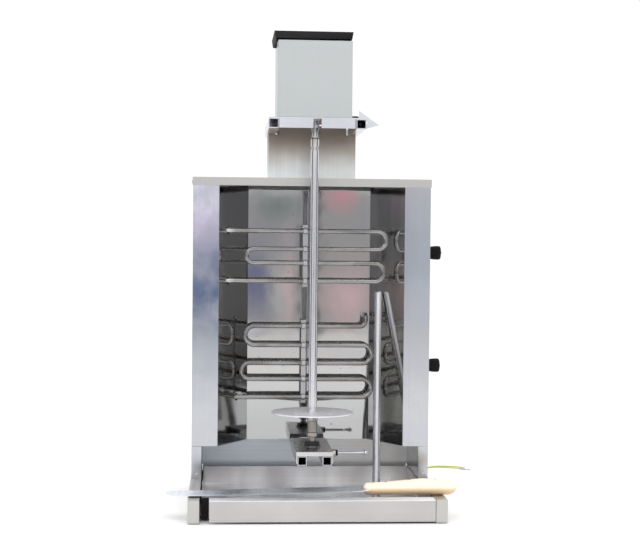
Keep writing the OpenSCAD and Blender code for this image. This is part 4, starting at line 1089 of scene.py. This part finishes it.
def front_card():
    """A big soft card behind the camera, mid grey with faint patches, so that the mirrors have something to show."""
    nx, nz = 170, 110
    xs = np.linspace(-1.9, 1.9, nx)
    xs = np.unique(np.concatenate([xs, np.linspace(-0.5, 0.8, 131)]))
    nx = len(xs)
    zs = np.linspace(0.0, 1.7, nz)
    xx, zz = np.meshgrid(xs, zs)
    prof = np.interp(zz, [0.0, 0.10, 0.15, 0.60, 0.66, 0.73, 1.1, 1.7], [1.0, 0.95, 0.50, 0.50, 0.80, 1.20, 1.20, 1.20])
    col = np.stack([prof * 1.0, prof * 0.99, prof * 1.0], -1)
    side = np.clip((np.abs(xx - 0.15) - 0.55) / 0.8, 0, 1)[..., None]
    col = col * (1 - side) + 0.80 * side
    low = np.interp(zz, [0.08, 0.15], [0.0, 1.0])
    for x, z, sx, sz, c, a in PATCHES:
        w = a * np.exp(-0.5 * (((xx - x) / sx) ** 2 + ((zz - z) / sz) ** 2)) * low
        col = col * (1 - w[..., None]) + np.array(c) * w[..., None]
    # what each front wing looks at
    for table, x0, x1, x2, x3 in ((LEFT_WING, -0.75, -0.35, -0.13, -0.08), (RIGHT_WING, 0.42, 0.47, 0.62, 0.95)):
        zt, ct = [t[0] for t in table], np.array([t[1] for t in table])
        drift = 0.02 * np.sin(9.0 * xx + 3.0)
        wing = np.stack([np.interp(zz + drift, zt, ct[:, k]) for k in range(3)], -1)
        w = (np.interp(xx, [x0, x1, x2, x3], [0, 1, 1, 0]) * np.interp(zz, [0.66, 0.76], [1, 0]))[..., None]
        col = col * (1 - w) + wing * w
    # bright strip that the motor plate's front flange looks at, and a dark one for the right reflector
    w = np.interp(zz, [0.80, 0.815, 0.86, 0.875], [0, 1, 1, 0]) * np.interp(xx, [-0.50, -0.42, 0.12, 0.20], [0, 1, 1, 0])
    col = col * (1 - w[..., None]) + np.array((1.35, 1.38, 1.55)) * w[..., None]
    w = np.interp(xx, [0.148, 0.156, 0.204, 0.212], [0, 1, 1, 0]) * np.interp(zz, [0.10, 0.14, 0.9, 1.0], [0, 1, 1, 0])
    col = col * (1 - w[..., None]) + np.array((0.10, 0.105, 0.115)) * w[..., None]
    verts = np.stack([xx, np.full_like(xx, -2.60), zz], -1).reshape(-1, 3)
    faces = [(j * nx + i, j * nx + i + 1, (j + 1) * nx + i + 1, (j + 1) * nx + i) for j in range(nz - 1) for i in range(nx - 1)]
    ob = obj_from("front_card", verts, faces, mats=[emit_mat("front_card", (1, 1, 1), 1.0, "card")])
    ob.visible_diffuse = ob.visible_shadow = False
    at = ob.data.attributes.new("card", "FLOAT_COLOR", "POINT")
    at.data.foreach_set("color", np.concatenate([col.reshape(-1, 3), np.ones((nx * nz, 1))], 1).astype(np.float32).ravel())
    ob.visible_camera = False


def side_cards():
    """Two dark cards, seen only in mirrors, out where each slanted reflector looks."""
    for s, v in ((-1, 0.175), (1, 0.15)):
        c = Vector((s * 1.45, -0.66, 0))
        t = Vector((-0.457 * s, -0.889, 0)).normalized() * 0.5
        pts = [c - t, c + t]
        n = 12
        verts, faces, cols = [], [], []
        for k in range(n + 1):
            u = k / n
            q = pts[0] + (pts[1] - pts[0]) * u
            for z in (0.0, 0.35, 0.8, 1.3):
                verts.append((q.x, q.y, z))
                g = v * (1.0 + 0.55 * math.sin(3.1 * u + 0.8) * (0.6 + 0.3 * z))
                cols.append((g, g * 0.985, g * 1.03, 1))
        for k in range(n):
            for a in range(3):
                faces.append((k * 4 + a, (k + 1) * 4 + a, (k + 1) * 4 + a + 1, k * 4 + a + 1))
        name = "side_card_" + ("l" if s < 0 else "r")
        ob = obj_from(name, verts, faces, mats=[emit_mat(name, (1, 1, 1), 1.0, "card")])
        at = ob.data.attributes.new("card", "FLOAT_COLOR", "POINT")
        at.data.foreach_set("color", np.array(cols, np.float32).ravel())
        ob.visible_camera = ob.visible_diffuse = ob.visible_shadow = False


def lights():
    def area(name, loc, size, radiance, target=(0, 0, 0.35)):
        d = bpy.data.lights.new(name, "AREA")
        d.shape, d.size, d.size_y = "RECTANGLE", size[0], size[1]
        d.energy = radiance * math.pi * size[0] * size[1]
        o = bpy.data.objects.new(name, d)
        SC.collection.objects.link(o)
        o.location = loc
        o.rotation_euler = (Vector(target) - Vector(loc)).to_track_quat("-Z", "Y").to_euler()
        o.visible_camera = False
    area("top", (0, -0.2, 3.0), (3.2, 3.2), 0.75)
    area("key", (-1.9, -2.2, 2.3), (1.3, 1.3), 2.2)
    area("fill", (2.1, -1.9, 1.9), (1.1, 1.1), 1.2)
    area("rear", (0.6, 2.8, 2.2), (2.0, 1.2), 0.7)
    w = bpy.data.worlds.new("studio")
    SC.world = w
    w.use_nodes = True
    w.node_tree.nodes["Background"].inputs["Color"].default_value = (1.0, 1.0, 1.0, 1)
    w.node_tree.nodes["Background"].inputs["Strength"].default_value = 1.05


floor()
front_card()
side_cards()
lights()
SC.view_settings.view_transform = "Standard"
